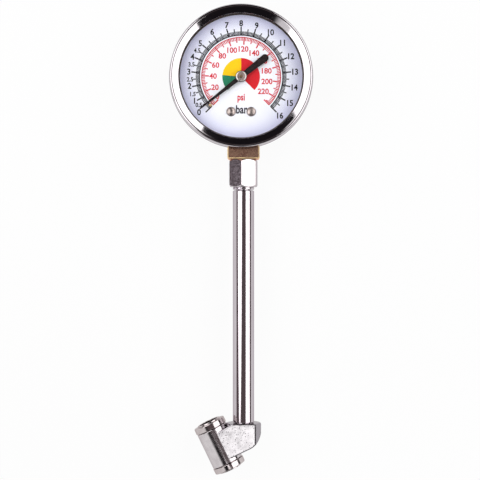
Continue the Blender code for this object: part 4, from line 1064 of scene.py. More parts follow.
@dataclass
class GaugeHead:
    """The case, bezel, window and gasket.

    Attributes:
        opening: radius of the bezel's opening.
        lip_base: height of the lip's under side.
        lip_top: height at which the lip's cone starts.
        lip_seat: (across, down) of the corner between the lip and the skirt.
        crest: (radius, height) of the rolled crest's centre.
        roll: radius of the rolled crest.
        cone_slope: slope of the lip's cone.
        rear: (radius, height) of the skirt's rear edge.
        band: (depth, height, slope's height) of the step above the skirt's rear band.
        skirt_wall: thickness of the skirt.
        window: (radius, low, high) of the window.
        window_rim: width of the ring of faces at its edge.
        gasket: (inner radius, outer radius, low, high) of the gasket.
        gasket_round: rounding of its edges.
        facets: facets in a full turn.
    """

    opening: float = 28.9
    lip_base: float = 23.3
    lip_top: float = 24.62
    lip_seat: Point = (0.3, 0.35)
    crest: Point = (32.0, 25.33)
    roll: float = 1.0
    cone_slope: float = 31.0
    rear: Point = (33.4, 18.6)
    band: Point = (0.16, 1.5, 0.4)
    skirt_wall: float = 0.8
    window: Point = (32.2, 21.8, 23.1)
    window_rim: float = 0.8
    gasket: Point = (28.3, 32.2, 20.97, 21.63)
    gasket_round: float = 0.2
    facets: int = 192

    def build(self, frame: Frame) -> None:
        """Build and dress the head.

        Args:
            frame: the loaded CAD frame.
        """
        self._bezel()
        self._window()
        self._gasket()
        dress(frame, CASE_PLASTIC, "case")
        dress(frame, BRIGHT_STEEL, "case_screw_left", "case_screw_right")

    def _bezel(self) -> None:
        """The rolled chrome ring."""
        outer, rear = self.rear
        inner = outer - self.skirt_wall
        depth, band, slope = self.band
        across, down = self.lip_seat
        profile = [
            (self.opening, self.lip_base, 0.08),
            (self.opening, self.lip_top, 0.1),
            *arc(self.crest, self.roll, 90.0 + self.cone_slope, 0.0, 14),
            (outer - depth, rear + band + slope, 0.1),
            (outer, rear + band, 0.2),
            (outer, rear, 0.25),
            (inner, rear, 0.12),
            (inner, self.lip_base - down),
            (inner - across, self.lip_base),
        ]
        ring = Shape.turned(profile, self.facets)
        install("bezel_ring", ring, BEZEL_CHROME, Body.GAUGE, ["bezel"], sharp=CRISP)

    def _window(self) -> None:
        """The clear disc."""
        radius, low, high = self.window
        edge = radius - self.window_rim
        under = [(0.0, low), (edge, low), (radius, low, 0.15)]
        front = [(radius, high, 0.15), (edge, high), (0.0, high)]
        pane = Shape.turned(under + front, self.facets, closed=False)
        install("window_pane", pane, WINDOW_PLASTIC, Body.GAUGE, ["window"])

    def _gasket(self) -> None:
        """The rubber ring under the window."""
        inner, outer, low, high = self.gasket
        corners = ((inner, low), (outer, low), (outer, high), (inner, high))
        ring = Shape.turned([(*corner, self.gasket_round) for corner in corners], self.facets)
        install("gasket_ring", ring, GASKET_RUBBER, Body.GAUGE, ["window_gasket"])


@dataclass(frozen=True)
class Scale:
    """A printed scale; its marks are (inner radius, outer radius, width).

    Attributes:
        name: the name of its ring and marks.
        colour: its ink.
        step: degrees to a unit.
        mark: units from mark to mark.
        end: its last value.
        ring: (inner, outer) radius of the line that the marks stand on.
        long: every tenth mark, and the last.
        middle: every fifth.
        short: the others.
        zero: clock angle of its zero.
        overrun: how many degrees the line runs past both ends.
    """

    name: str
    colour: Finish
    step: float
    mark: float
    end: int
    ring: Point
    long: Point
    middle: Point
    short: Point
    zero: float = -135.0
    overrun: float = 0.3

    def angle(self, value: float) -> float:
        """Clock angle of a value."""
        return self.zero + value * self.step

    def marks(self) -> Iterator[tuple[float, Point]]:
        """Place and size the marks.

        Returns:
            Clock angle and size of each mark, from zero on.
        """
        last = round(self.end / self.mark)
        for number in range(last + 1):
            size = self.middle if number % 5 == 0 else self.short
            if number % 10 == 0 or number == last:
                size = self.long
            yield self.angle(number * self.mark), size


@dataclass
class DialFace:
    """The scale plate, its print, its screws and the pointer's stop.

    Attributes:
        radius: the plate's radius.
        bore: radius of the hole for the hub.
        low: height of the plate's under side.
        top: height of its face.
        rings: widths of the rings of faces at its hole and its edge.
        ink: thickness of the print.
        bar: the outer scale.
        psi: the inner scale.
        figures: lettering of whole bars.
        small_figures: lettering of half bars.
        psi_figures: lettering of the inner scale.
        halves_to: the last bar before which half bars have figures.
        bar_reach: radius of the figures of whole bars, and of half bars.
        bar_dip: how far in they are drawn on the left.
        shifted: (clock angle, radius) of the figures that stand elsewhere.
        psi_zero: (clock angle, radius) of the inner scale's zero.
        psi_every: psi from figure to figure.
        psi_reach: radius of the other inner figures.
        psi_dip: how far in they are drawn on the right.
        psi_shift: how many degrees on they are drawn there.
        zones: name, first bar, last bar and ink of the sectors round the hub.
        zone_gap: space between them and the plate's hole.
        zone_radius: their outer radius.
        units: name, ink, lettering, word and place of the two units.
        screws: the screws' places.
        screw_head: (radius, height, brim's height) of a screw's head.
        screw_dome: radius that its top is domed to.
        screw_shank: (radius, length) of its shank.
        pin: (clock angle, orbit) of the stop pin.
        pin_radius: its radius.
        pin_foot: radius of its foot.
        pin_height: its height.
    """

    radius: float = 29.2
    bore: float = 1.25
    low: float = 18.1
    top: float = 18.6
    rings: Point = (1.0, 0.8)
    ink: float = 0.03
    bar: Scale = Scale(
        "bar_scale",
        BLACK_INK,
        step=16.875,
        mark=0.1,
        end=16,
        ring=(19.1, 19.52),
        long=(19.3, 23.25, 0.62),
        middle=(19.3, 22.3, 0.5),
        short=(19.3, 21.1, 0.43),
    )
    psi: Scale = Scale(
        "psi_scale",
        RED_INK,
        step=1.1635,
        mark=2.0,
        end=232,
        ring=(18.1, 18.52),
        long=(14.95, 18.4, 0.62),
        middle=(15.85, 18.4, 0.5),
        short=(16.75, 18.4, 0.39),
    )
    figures: Lettering = Lettering(2.65, 0.92, 0.12)
    small_figures: Lettering = Lettering(1.95, 0.9, 0.085)
    psi_figures: Lettering = Lettering(2.45, 0.99, 0.1)
    halves_to: int = 5
    bar_reach: Point = (24.85, 24.2)
    bar_dip: float = 0.45
    shifted: dict[str, Point] = field(
        default_factory=lambda: {
            "0": (-130.0, 25.5),
            "0.5": (-123.5, 23.6),
            "1": (-117.1, 24.3),
            "2": (-99.9, 24.3),
            "6": (-32.7, 24.85),
            "7": (-15.4, 24.85),
            "12": (67.6, 25.1),
            "13": (84.6, 25.15),
            "14": (101.2, 25.3),
            "15": (118.2, 25.75),
            "16": (134.8, 25.5),
        }
    )
    psi_zero: Point = (-129.6, 14.25)
    psi_every: int = 20
    psi_reach: float = 13.05
    psi_dip: float = 0.9
    psi_shift: float = 2.5
    zones: tuple[tuple[str, float, float, Finish], ...] = (
        ("zone_low", 0.0, 3.0, ZONE_GREEN),
        ("zone_middle", 3.0, 8.0, ZONE_YELLOW),
        ("zone_high", 8.0, 16.0, ZONE_RED),
    )
    zone_gap: float = 0.15
    zone_radius: float = 8.73
    units: tuple[tuple[str, Finish, Lettering, str, Point], ...] = (
        ("psi_unit", RED_INK, Lettering(3.1, 0.74, 0.13), "psi", (0.0, -9.95)),
        ("bar_unit", GREY_INK, Lettering(3.75, 0.75, 0.15), "bar", (0.25, -15.1)),
    )
    screws: tuple[Point, Point] = ((-4.68, -16.15), (4.68, -16.15))
    screw_head: Point = (2.2, 1.1, 0.16)
    screw_dome: float = 3.24
    screw_shank: Point = (0.5, 1.2)
    pin: Point = (-132.4, 19.46)
    pin_radius: float = 0.8
    pin_foot: float = 0.4
    pin_height: float = 2.0

    def build(self, frame: Frame) -> None:
        """Build the plate, print it and fit what stands on it.

        Args:
            frame: the loaded CAD frame, not used.
        """
        self._plate()
        self._print_scale(self.bar)
        self._printed("bar_figures", list(self._bar_words()), self.bar.colour)
        self._print_scale(self.psi)
        self._printed("psi_figures", list(self._psi_words()), self.psi.colour)
        ring = (self.bore + self.zone_gap, self.zone_radius)
        for name, first, last, colour in self.zones:
            ends = self.bar.angle(first), self.bar.angle(last)
            self._printed(name, [Shape.wedge(ring, ends, self._print_heights())], colour)
        for name, colour, style, text, place in self.units:
            self._printed(name, [self._word(style, text, place)], colour)
        self._fit_screws()
        self._fit_pin()

    def _plate(self) -> None:
        """The enamelled plate."""
        profile = [
            (self.bore, self.low),
            (self.bore, self.top),
            (self.bore + self.rings[0], self.top),
            (self.radius - self.rings[1], self.top),
            (self.radius, self.top, 0.1),
            (self.radius, self.low),
        ]
        install("dial_disc", Shape.turned(profile, 144), DIAL_ENAMEL, Body.GAUGE, ["dial_plate"])

    def _print_heights(self) -> Point:
        """Heights of the print's under side and upper side."""
        return self.top - self.ink / 2, self.top + self.ink / 2

    def _printed(self, name: str, shapes: Sequence[Shape], colour: Finish) -> None:
        """Install one colour of the print.

        Args:
            name: the print's name.
            shapes: its marks.
            colour: its ink.
        """
        install(name, shapes[0].joined(*shapes[1:]), colour, Body.GAUGE, slot="dial_plate")

    def _print_scale(self, scale: Scale) -> None:
        """Print a scale's line and its marks, each a thin bar along a radius.

        Args:
            scale: the scale.
        """
        ends = scale.angle(0) - scale.overrun, scale.angle(scale.end) + scale.overrun
        shapes = [Shape.wedge(scale.ring, ends, self._print_heights())]
        for angle, (inner, outer, width) in scale.marks():
            half = width / 2
            outline = [(-half, inner), (half, inner), (half, outer), (-half, outer)]
            shapes.append(Shape.plate(outline, *self._print_heights()).moved(rotation(-angle)))
        self._printed(scale.name, shapes, scale.colour)

    def _word(self, style: Lettering, text: str, centre: Point) -> Shape:
        """Print a word on the plate."""
        return style.stamp(text, centre, self._print_heights()[0], self.ink)

    def _bar_words(self) -> Iterator[Shape]:
        """Print the outer scale's figures.

        Returns:
            The figures, from zero on.
        """
        for half in range(self.bar.end * 2 + 1):
            value, odd = half / 2, half % 2
            if value > self.halves_to and odd:
                continue
            text, angle = f"{value:g}", self.bar.angle(value)
            reach = self.bar_reach[odd] + self.bar_dip * min(0.0, math.sin(math.radians(angle)))
            place = clock(*self.shifted.get(text, (angle, reach)))
            yield self._word(self.small_figures if odd else self.figures, text, place)

    def _psi_words(self) -> Iterator[Shape]:
        """Print the inner scale's figures.

        Returns:
            The figures, from zero on.
        """
        yield self._word(self.psi_figures, "0", clock(*self.psi_zero))
        for value in range(self.psi_every, self.psi.end, self.psi_every):
            angle = self.psi.angle(value)
            right = max(0.0, math.sin(math.radians(angle)))
            place = clock(angle + self.psi_shift * right, self.psi_reach - self.psi_dip * right)
            yield self._word(self.psi_figures, str(value), place)

    def _fit_screws(self) -> None:
        """Two domed screws."""
        head, height, brim = self.screw_head
        shank, length = self.screw_shank
        profile = [
            (0.0, self.top + height),
            *arc((0.0, self.top + height - self.screw_dome), self.screw_dome, 84.0, 48.5, 8),
            (head, self.top + brim, 0.1),
            (head, self.top),
            (shank, self.top),
            (shank, self.top - length),
            (0.0, self.top - length),
        ]
        for side, place in zip(("left", "right"), self.screws):
            dome = Shape.turned(profile, 48, closed=False).moved(Matrix.Translation((*place, 0.0)))
            install(f"dial_dome_{side}", dome, WARM_NICKEL, Body.GAUGE, [f"dial_screw_{side}"])

    def _fit_pin(self) -> None:
        """The round-topped pin that the pointer rests against."""
        tip = self.top + self.pin_height
        profile = [
            (0.0, tip),
            *arc((0.0, tip - self.pin_radius), self.pin_radius, 80.0, 0.0, 7),
            (self.pin_radius, self.top),
            (self.pin_foot, self.top),
            (self.pin_foot, self.low),
            (0.0, self.low),
        ]
        place = Matrix.Translation((*clock(*self.pin), 0.0))
        peg = Shape.turned(profile, 36, closed=False).moved(place)
        install("stop_peg", peg, PIN_BRASS, Body.GAUGE, ["stop_pin"])


@dataclass
class PointerSet:
    """The black pointer and its pressed-on hub.

    Attributes:
        rest: clock angle at which the pointer rests.
        reach: length from the arbor to the tip.
        tail: length from the arbor to the tail's end.
        widths: width at the tip, before the hub, behind it and across the tail's end.
        low: height of the blade's under side.
        thickness: the blade's thickness.
        hub_radius: the hub's radius.
        hub_low: height of the hub's under side.
        hub_top: height of its face.
        hub_edge: (inwards, down) of the corners from the hub's edge over its groove.
        hub_bore: radius of its hole.
        countersink: depth of the hole's countersink.
        stem: radius of its stem.
        foot: height that the hub's stem reaches down to.
    """

    rest: float = -128.0
    reach: float = 24.3
    tail: float = 15.7
    widths: Point = (0.62, 2.1, 2.5, 3.45)
    low: float = 19.9
    thickness: float = 0.5
    hub_radius: float = 2.65
    hub_low: float = 20.43
    hub_top: float = 21.35
    hub_edge: tuple[Point, ...] = (
        (0.0, 0.42, 0.08),
        (0.34, 0.04, 0.06),
        (0.5, 0.04, 0.04),
        (0.6, 0.14, 0.04),
        (0.74, 0.02, 0.05),
    )
    hub_bore: float = 0.68
    countersink: float = 0.25
    stem: float = 0.95
    foot: float = 18.65

    def build(self, frame: Frame) -> None:
        """Build the pointer and its hub.

        Args:
            frame: the loaded CAD frame.
        """
        self._blade()
        self._hub()
        dress(frame, PIN_BRASS, "pinion_arbor")

    def _blade(self) -> None:
        """The pointer's blade, from its tip round its tail."""
        tip, root, neck, end = (width / 2 for width in self.widths)
        outline = [
            (tip, self.reach, 0.2),
            (-tip, self.reach, 0.2),
            (-root, self.hub_radius),
            (-neck, -self.hub_radius),
            *arc((0.0, end - self.tail), end, 180.0, 360.0, 16),
            (neck, -self.hub_radius),
            (root, self.hub_radius),
        ]
        blade = Shape.plate(outline, self.low, self.low + self.thickness).softened(0.1, 3, 50.0)
        install("pointer_blade", blade.moved(rotation(-self.rest)), POINTER_PAINT, Body.POINTER, ["pointer"])

    def _hub(self) -> None:
        """The turned hub with its grooved edge."""
        radius, top = self.hub_radius, self.hub_top
        profile = [
            (self.hub_bore, self.foot),
            (self.stem, self.foot),
            (self.stem, self.hub_low),
            (radius, self.hub_low, 0.05),
            *((radius - inwards, top - down, rounding) for inwards, down, rounding in self.hub_edge),
            (self.stem, top, 0.05),
            (self.hub_bore, top - self.countersink),
        ]
        hub = Shape.turned(profile, 96)
        install("hub_disc", hub, HUB_NICKEL, Body.POINTER, ["pointer_hub"], sharp=28.0)


@dataclass
class Movement:
    """The works and the stem's seal, whose CAD shapes stay, and the bent tube.

    Attributes:
        brass: nodes of turned and stamped brass.
        bronze: nodes of spring bronze.
        steel: nodes of bright steel.
        rubber: nodes of rubber.
        bend: radius that the flattened tube is bent to.
        tip: where its free end is, in degrees from the right.
        bent: how far round it goes.
        height: height of its middle.
        width: width of the flattened tube.
        thickness: its thickness.
        wall: thickness of its wall.
        still: how far right of the middle the tube's start point is set.
    """

    brass: tuple[str, ...] = (
        "movement_back_plate",
        "movement_front_plate",
        "movement_pillar_left",
        "movement_pillar_right",
        "movement_pillar_upper",
        "sector_gear",
        "bourdon_tip",
    )
    bronze: tuple[str, ...] = ("hairspring",)
    steel: tuple[str, ...] = ("movement_screw_left", "movement_screw_right", "link")
    rubber: tuple[str, ...] = ("coupling_seal",)
    bend: float = 20.5
    tip: float = -12.0
    bent: float = 276.0
    height: float = 7.1
    width: float = 6.4
    thickness: float = 2.6
    wall: float = 0.4
    still: float = -1.5

    def build(self, frame: Frame) -> None:
        """Dress the nodes and build the tube.

        Args:
            frame: the loaded CAD frame.
        """
        dress(frame, MOVEMENT_BRASS, *self.brass)
        dress(frame, SPRING_BRONZE, *self.bronze)
        dress(frame, BRIGHT_STEEL, *self.steel)
        dress(frame, SEAL_RUBBER, *self.rubber)
        self._spring_tube()

    def _section(self, inset: float) -> list[Point]:
        """The flattened tube's outline, or its bore's.

        Args:
            inset: how far inside the outside it lies.

        Returns:
            (radius, height) points.
        """
        rise, end = (self.width - self.thickness) / 2, self.thickness / 2 - inset
        return [
            *arc((self.bend, self.height + rise), end, 0.0, 180.0, 10),
            *arc((self.bend, self.height - rise), end, 180.0, 360.0, 10),
        ]

    def _spring_tube(self) -> None:
        """The flattened tube, bent round from its fixed end to its free end."""
        shape = Shape.swept([self._section(0.0), self._section(self.wall)], self.bent)
        shape.moved(rotation(self.tip))
        piece = install("spring_tube", shape, SPRING_BRONZE, None, ["bourdon_tube"])
        last = self.bend * math.cos(math.radians(self.tip)) - self.thickness
        start, end = (self.still * MM, 0.0, self.height * MM), (last * MM, 0.0, self.height * MM)
        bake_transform(piece)
        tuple(start)
        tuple(end)


@dataclass
class Stem:
    """The square, hexagon and tube, drawn down the stem along +Z.

    Attributes:
        axis: place of the stem's axis: across, and above the floor.
        hex_low: where the hexagon starts.
        hex_high: where it ends.
        flat: the hexagon's radius to its flats.
        turn: how far its front flat is turned to the right.
        chamfer: slope of its chamfers.
        chamfer_start: how far inside the flats the chamfers start.
        cuts: plane cuts that make up a chamfer.
        collar: where the collar ends.
        collar_root: how far the collar is sunk in the hexagon.
        neck: (depth, foot's height, shoulder's height) of the groove before the collar.
        spigot: (clearance, length) of the end that the tube is pushed on.
        tube_low: where the tube starts.
        tube_shoulder: where its full width ends.
        tube_high: where it ends, in the chuck.
        tube_radius: its radius.
        tube_bore: its bore's radius.
        tube_end: radius of the turned-down end.
    """

    axis: Point = (1.1, 10.8)
    hex_low: float = 37.95
    hex_high: float = 50.85
    flat: float = 6.2
    turn: float = 22.0
    chamfer: float = 42.0
    chamfer_start: float = 0.15
    cuts: int = 72
    collar: float = 52.05
    collar_root: float = 1.0
    neck: Point = (0.3, 0.16, 0.22)
    spigot: Point = (0.2, 8.0)
    tube_low: float = 52.45
    tube_shoulder: float = 161.05
    tube_high: float = 166.05
    tube_radius: float = 5.0
    tube_bore: float = 3.6
    tube_end: float = 4.3

    def matrix(self) -> Matrix:
        """The stem's own frame."""
        return Matrix.Translation((self.axis[0], 0.0, self.axis[1])) @ rotation(90.0, "X")

    def build(self, frame: Frame) -> None:
        """Build the hexagon and the tube and dress the square.

        Args:
            frame: the loaded CAD frame.
        """
        dress(frame, SQUARE_BRASS, "socket")
        nut = self._hexagon().joined(self._collar()).moved(self.matrix())
        install("hex_nut", nut, SATIN_NICKEL, Body.GAUGE, ["hex_coupling"], sharp=24.0)
        self._tube()

    def _hexagon(self) -> Shape:
        """The hexagon with its turned chamfers.

        Returns:
            The hexagon.
        """
        shape = Shape()
        corner = self.flat / math.cos(math.radians(30.0))
        bmesh.ops.create_circle(shape.bm, cap_ends=True, radius=corner, segments=6)
        shape.moved(Matrix.Translation((0.0, 0.0, self.hex_low)) @ rotation(30.0 - self.turn))
        shape.lifted(self.hex_high - self.hex_low).softened(0.16, 3, 40.0)
        out, along = math.sin(math.radians(self.chamfer)), math.cos(math.radians(self.chamfer))
        reach = self.flat - self.chamfer_start
        for number in range(self.cuts):
            angle = math.tau * number / self.cuts
            x, y = math.cos(angle), math.sin(angle)
            shape.planed((reach * x, reach * y, self.hex_low), (out * x, out * y, -along))
            shape.planed((reach * x, reach * y, self.hex_high), (out * x, out * y, along))
        return shape.tidied()

    def _collar(self) -> Shape:
        """The collar below the hexagon, and the spigot in the tube.

        Returns:
            The turned collar.
        """
        radius, low, high = self.tube_radius, self.hex_high, self.collar
        depth, foot, shoulder = self.neck
        clearance, length = self.spigot
        inner = self.tube_bore - clearance
        profile = [
            (0.0, low - self.collar_root),
            (radius - depth, low - self.collar_root),
            (radius - depth, low + foot, 0.05),
            (radius, low + shoulder, 0.12),
            (radius, high, 0.22),
            (inner, high),
            (inner, high + length, 0.3),
            (0.0, high + length),
        ]
        return Shape.turned(profile, 96, closed=False)

    def _tube(self) -> None:
        """The straight chromed tube."""
        profile = [
            (self.tube_bore, self.tube_high),
            (self.tube_end, self.tube_high, 0.2),
            (self.tube_end, self.tube_shoulder),
            (self.tube_radius, self.tube_shoulder, 0.2),
            (self.tube_radius, self.tube_low, 0.55),
            (self.tube_bore, self.tube_low),
        ]
        tube = Shape.turned(profile, 128, rounding=6).moved(self.matrix())
        install("stem_tube", tube, TUBE_CHROME, Body.GAUGE, ["tube"], sharp=CRISP)


@dataclass
class Chuck:
    """The cast web and barrel, its two screwed caps and what sits in them.

    Attributes:
        stem: the stem that it is screwed on.
        tilt: how far the barrel leans from the stem.
        centre: the barrel's middle: across, above the stem's axis and down the stem.
        radius: the barrel's radius.
        half: half the barrel's length.
        chamber: radius of the air chamber.
        chamber_half: half its length.
        pocket: radius of the pockets at the barrel's ends.
        top: where the web and its boss start.
        boss: radius of the boss that the tube is fixed in.
        boss_rim: (inwards, down the stem) of the corners of its broken rim.
        boss_bore: (radius, depth) of its bore.
        boss_end: how far down the stem the round goes that the web is kept inside.
        inset: how far the web's right side and the boss's core stay inside that round.
        blank: (width, half depth, start above the top, end) of the block that the web is cut from.
        past: how far the barrel's and the tube's bores are cut past the casting.
        sunk: how far the barrel is sunk in its bore.
        web_half: half the web's thickness.
        web_edge: width of its rounded edges.
        web_slope: slope of its upper edge.
        foot: how far down the barrel its lower edge starts.
        shoulder: rounding of its upper left corner, at the boss.
        foot_corner: rounding of its lower right corner.
        hidden: how far a face stands behind the face that covers it.
        mouth: radius of a mouth.
        cap: (radius, base, face) of a cap.
        collar: (radius, height) of the collar round a mouth.
        thread: (radius, inner end) of a cap's thread.
        pin: (radius, flange's radius) of a depressor.
        pin_heights: heights of its tip and its flange's two sides, from the thread's inner end.
        seal: (inner radius, funnel's radius, lip's radius) of a seal.
        seal_heights: heights of its base, its hole's edge, its funnel and its lip, from there too.
        coil: (radius, half length) of the spring between the depressors.
        wire: radius of its wire.
        coil_turns: turns in half of it.
        coil_chords: chords in a turn.
        press: how far a depressor would be pushed in; not used.
    """

    stem: Stem
    tilt: float = 25.8
    centre: Point = (-11.23, -0.7, 172.05)
    radius: float = 7.4
    half: float = 8.7
    chamber: float = 4.2
    chamber_half: float = 4.8
    pocket: float = 6.15
    top: float = 161.35
    boss: float = 8.3
    boss_rim: tuple[Point, ...] = ((1.5, -1.0), (0.5, 0.0), (0.15, 0.35), (0.0, 0.8))
    boss_bore: Point = (4.45, 5.0)
    boss_end: float = 195.0
    inset: float = 0.05
    blank: Point = (30.0, 9.0, 3.0, 197.0)
    past: Point = (9.0, 1.0)
    sunk: float = 0.1
    web_half: float = 6.5
    web_edge: float = 0.6
    web_slope: float = 30.0
    foot: float = 7.2
    shoulder: float = 0.45
    foot_corner: float = 5.5
    hidden: float = 0.04
    mouth: float = 4.6
    cap: Point = (7.65, 9.0, 11.7)
    collar: Point = (5.5, 12.3)
    thread: Point = (5.9, 6.7)
    pin: Point = (1.2, 3.2)
    pin_heights: Point = (0.85, -2.05, -3.15)
    seal: Point = (1.9, 2.6, 4.4)
    seal_heights: Point = (-1.75, -0.6, -0.3, -0.15)
    coil: Point = (2.3, 3.15)
    wire: float = 0.25
    coil_turns: int = 2
    coil_chords: int = 40
    press: float = 1.6

    def barrel_matrix(self) -> Matrix:
        """The barrel's own frame, in the stem's."""
        return Matrix.Translation(self.centre) @ rotation(self.tilt, "Y")

    def build(self, frame: Frame) -> None:
        """Build the casting and both mouths.

        Args:
            frame: the loaded CAD frame, not used.
        """
        self._casting()
        self._barrel()
        for side, turn, body in (
            ("upper", rotation(180.0, "X"), Body.UPPER_PLUNGER),
            ("lower", Matrix.Identity(4), Body.LOWER_PLUNGER),
        ):
            place = self.stem.matrix() @ self.barrel_matrix() @ turn
            self._mouth(side, place, body)
            self._half_spring(side, place)

    def _web(self) -> Shape:
        """The web's plate with its rounded corners and edges.

        Returns:
            The plate.
        """
        lean, slope = math.radians(self.tilt), math.radians(self.web_slope)
        along = Vector((math.sin(lean), math.cos(lean)))
        falling = Vector((-math.cos(slope), math.sin(slope)))
        middle = Vector((self.centre[0], self.centre[2]))
        shoulder = Vector((-math.sqrt(self.boss**2 - self.web_half**2), self.top))
        upper = shoulder + falling * (middle - shoulder).cross(along) / falling.cross(along)
        lower = middle + along * self.foot
        right = self.boss - self.inset
        outline = [
            (*upper, 0.0),
            (*shoulder, self.shoulder),
            (right, self.top, 0.0),
            (right, lower.y - (right - lower.x) * math.tan(lean), self.foot_corner),
            (*lower, 0.0),
        ]
        plate = Shape.plate(outline, -self.web_half, self.web_half, rounding=12)
        return plate.softened(self.web_edge, 5, 60.0).moved(rotation(90.0, "X"))

    def _boss(self) -> Shape:
        """The round that the web is kept inside, with its rim broken.

        Returns:
            The round.
        """
        rim = [(self.boss - inwards, self.top + down) for inwards, down in self.boss_rim]
        end = [(self.boss, self.boss_end), (0.0, self.boss_end)]
        return Shape.turned([(0.0, rim[0][1]), *rim, *end], 128, closed=False)

    def _boss_core(self) -> Shape:
        """What shows of the round beyond the web's sloping shoulder.

        Returns:
            The core.
        """
        top, radius = self.top + self.inset, self.boss - self.hidden
        end = top + self.boss_bore[1]
        shape = Shape.turned([(0.0, top), (radius, top, 0.5), (radius, end), (0.0, end)], 128, closed=False)
        for side in (-1.0, 1.0):
            shape.planed((0.0, side * (self.web_half - self.hidden), top), (0.0, side, 0.0))
            shape.planed((0.0, side * (self.web_half - self.web_edge), top), (0.0, side, -1.0))
        return shape.tidied()

    def _rod(self, radius: float, low: float, high: float, steps: int = 96) -> Shape:
        """A plain rod along Z, for boring."""
        return Shape.turned([(0.0, low), (radius, low), (radius, high), (0.0, high)], steps, closed=False)

    def _casting(self) -> None:
        """The cast web with its boss, bored for the barrel and the tube."""
        width, deep, start, end = self.blank
        block = [(-width, -deep), (0.0, -deep), (0.0, deep), (-width, deep)]
        bore, depth = self.boss_bore
        past_barrel, past_tube = self.past
        reach = self.half + past_barrel
        barrel = self._rod(self.radius - self.sunk, -reach, reach, 144).moved(self.barrel_matrix())
        steps = [
            (Cut.JOIN, Shape.plate(block, self.top - start, end)),
            (Cut.KEEP, self._web()),
            (Cut.JOIN, self._boss_core()),
            (Cut.BORE, barrel),
            (Cut.BORE, self._rod(bore, self.top - past_tube, self.top + depth)),
        ]
        mesh = machined("cast_web", self._boss(), steps)
        mesh.transform(Matrix.Scale(MM, 4) @ self.stem.matrix() @ Matrix.Scale(1.0 / MM, 4))
        mesh.shade_smooth()
        mesh.set_sharp_from_angle(angle=math.radians(CRISP))
        install("cast_web", mesh, CAST_CHROME, Body.GAUGE, ["chuck_body"])

    def _barrel(self) -> None:
        """The turned barrel that the web holds."""
        half, inner = self.half, self.chamber_half
        profile = [
            (self.pocket, -half, 0.1),
            (self.radius, -half, 0.25),
            (self.radius, half, 0.25),
            (self.pocket, half, 0.1),
            (self.pocket, inner),
            (self.chamber, inner),
            (self.chamber, -inner),
            (self.pocket, -inner),
        ]
        sleeve = Shape.turned(profile, 144).moved(self.stem.matrix() @ self.barrel_matrix())
        install("barrel_sleeve", sleeve, BARREL_CHROME, Body.GAUGE, slot="chuck_body", sharp=CRISP)

    def _mouth(self, side: str, place: Matrix, body: Body) -> None:
        """One mouth: its cap, seal and depressor.

        Args:
            side: which mouth it is.
            place: its frame, drawn outwards along +Z.
            body: the body that its depressor rides on.
        """
        wall, base, face = self.cap
        rim, lip = self.collar
        core, seat = self.thread
        cap = [
            (self.mouth, lip - 0.05, 0.15),
            (rim - 0.05, lip, 0.15),
            (rim, face + 0.06, 0.08),
            (wall - 0.1, face - 0.02, 0.35),
            (wall, base, 0.2),
            (core, base),
            (core, seat),
            (self.mouth, seat),
        ]
        ring = Shape.turned(cap, 128).moved(place)
        install(f"{side}_cap_ring", ring, CAP_CHROME, Body.GAUGE, [f"{side}_cap"], sharp=CRISP)
        inner, funnel, outer = self.seal
        base, edge, cone, face = (seat + height for height in self.seal_heights)
        seal = [
            (inner, base, 0.25),
            (core, base, 0.15),
            (core, face, 0.15),
            (outer, face),
            (funnel, cone, 0.3),
            (inner, edge, 0.3),
        ]
        ring = Shape.turned(seal, 96).moved(place)
        install(f"{side}_seal_ring", ring, SEAL_RUBBER, Body.GAUGE, [f"{side}_seal"])
        pin, flange = self.pin
        tip, near, far = (seat + height for height in self.pin_heights)
        depressor = [
            (0.0, tip),
            (pin, tip, 0.35),
            (pin, near, 0.1),
            (flange, near, 0.2),
            (flange, far, 0.1),
            (0.0, far),
        ]
        turned = Shape.turned(depressor, 48, closed=False).moved(place)
        install(f"{side}_depressor_pin", turned, PIN_BRASS, body, [f"{side}_depressor"])

    def _half_spring(self, side: str, place: Matrix) -> None:
        """Half of the spring, from the barrel's middle towards its depressor.

        Args:
            side: which half it is.
            place: its mouth's frame, drawn outwards along +Z.
        """
        radius, half = self.coil
        section = arc((radius, 0.0), self.wire, 0.0, 337.5, 15)
        turns, chords = self.coil_turns, self.coil_chords
        shape = Shape.swept([section], 360.0 * turns, half, chords * turns).moved(place)
        piece = install(f"{side}_half_spring", shape, BRIGHT_STEEL, Body.GAUGE, ["chuck_spring"])
        axis, middle = place.to_3x3() @ Vector((0.0, 0.0, 1.0)), place.translation * MM
        tuple(axis)
        tuple(middle)
        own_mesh(piece)


# Studio


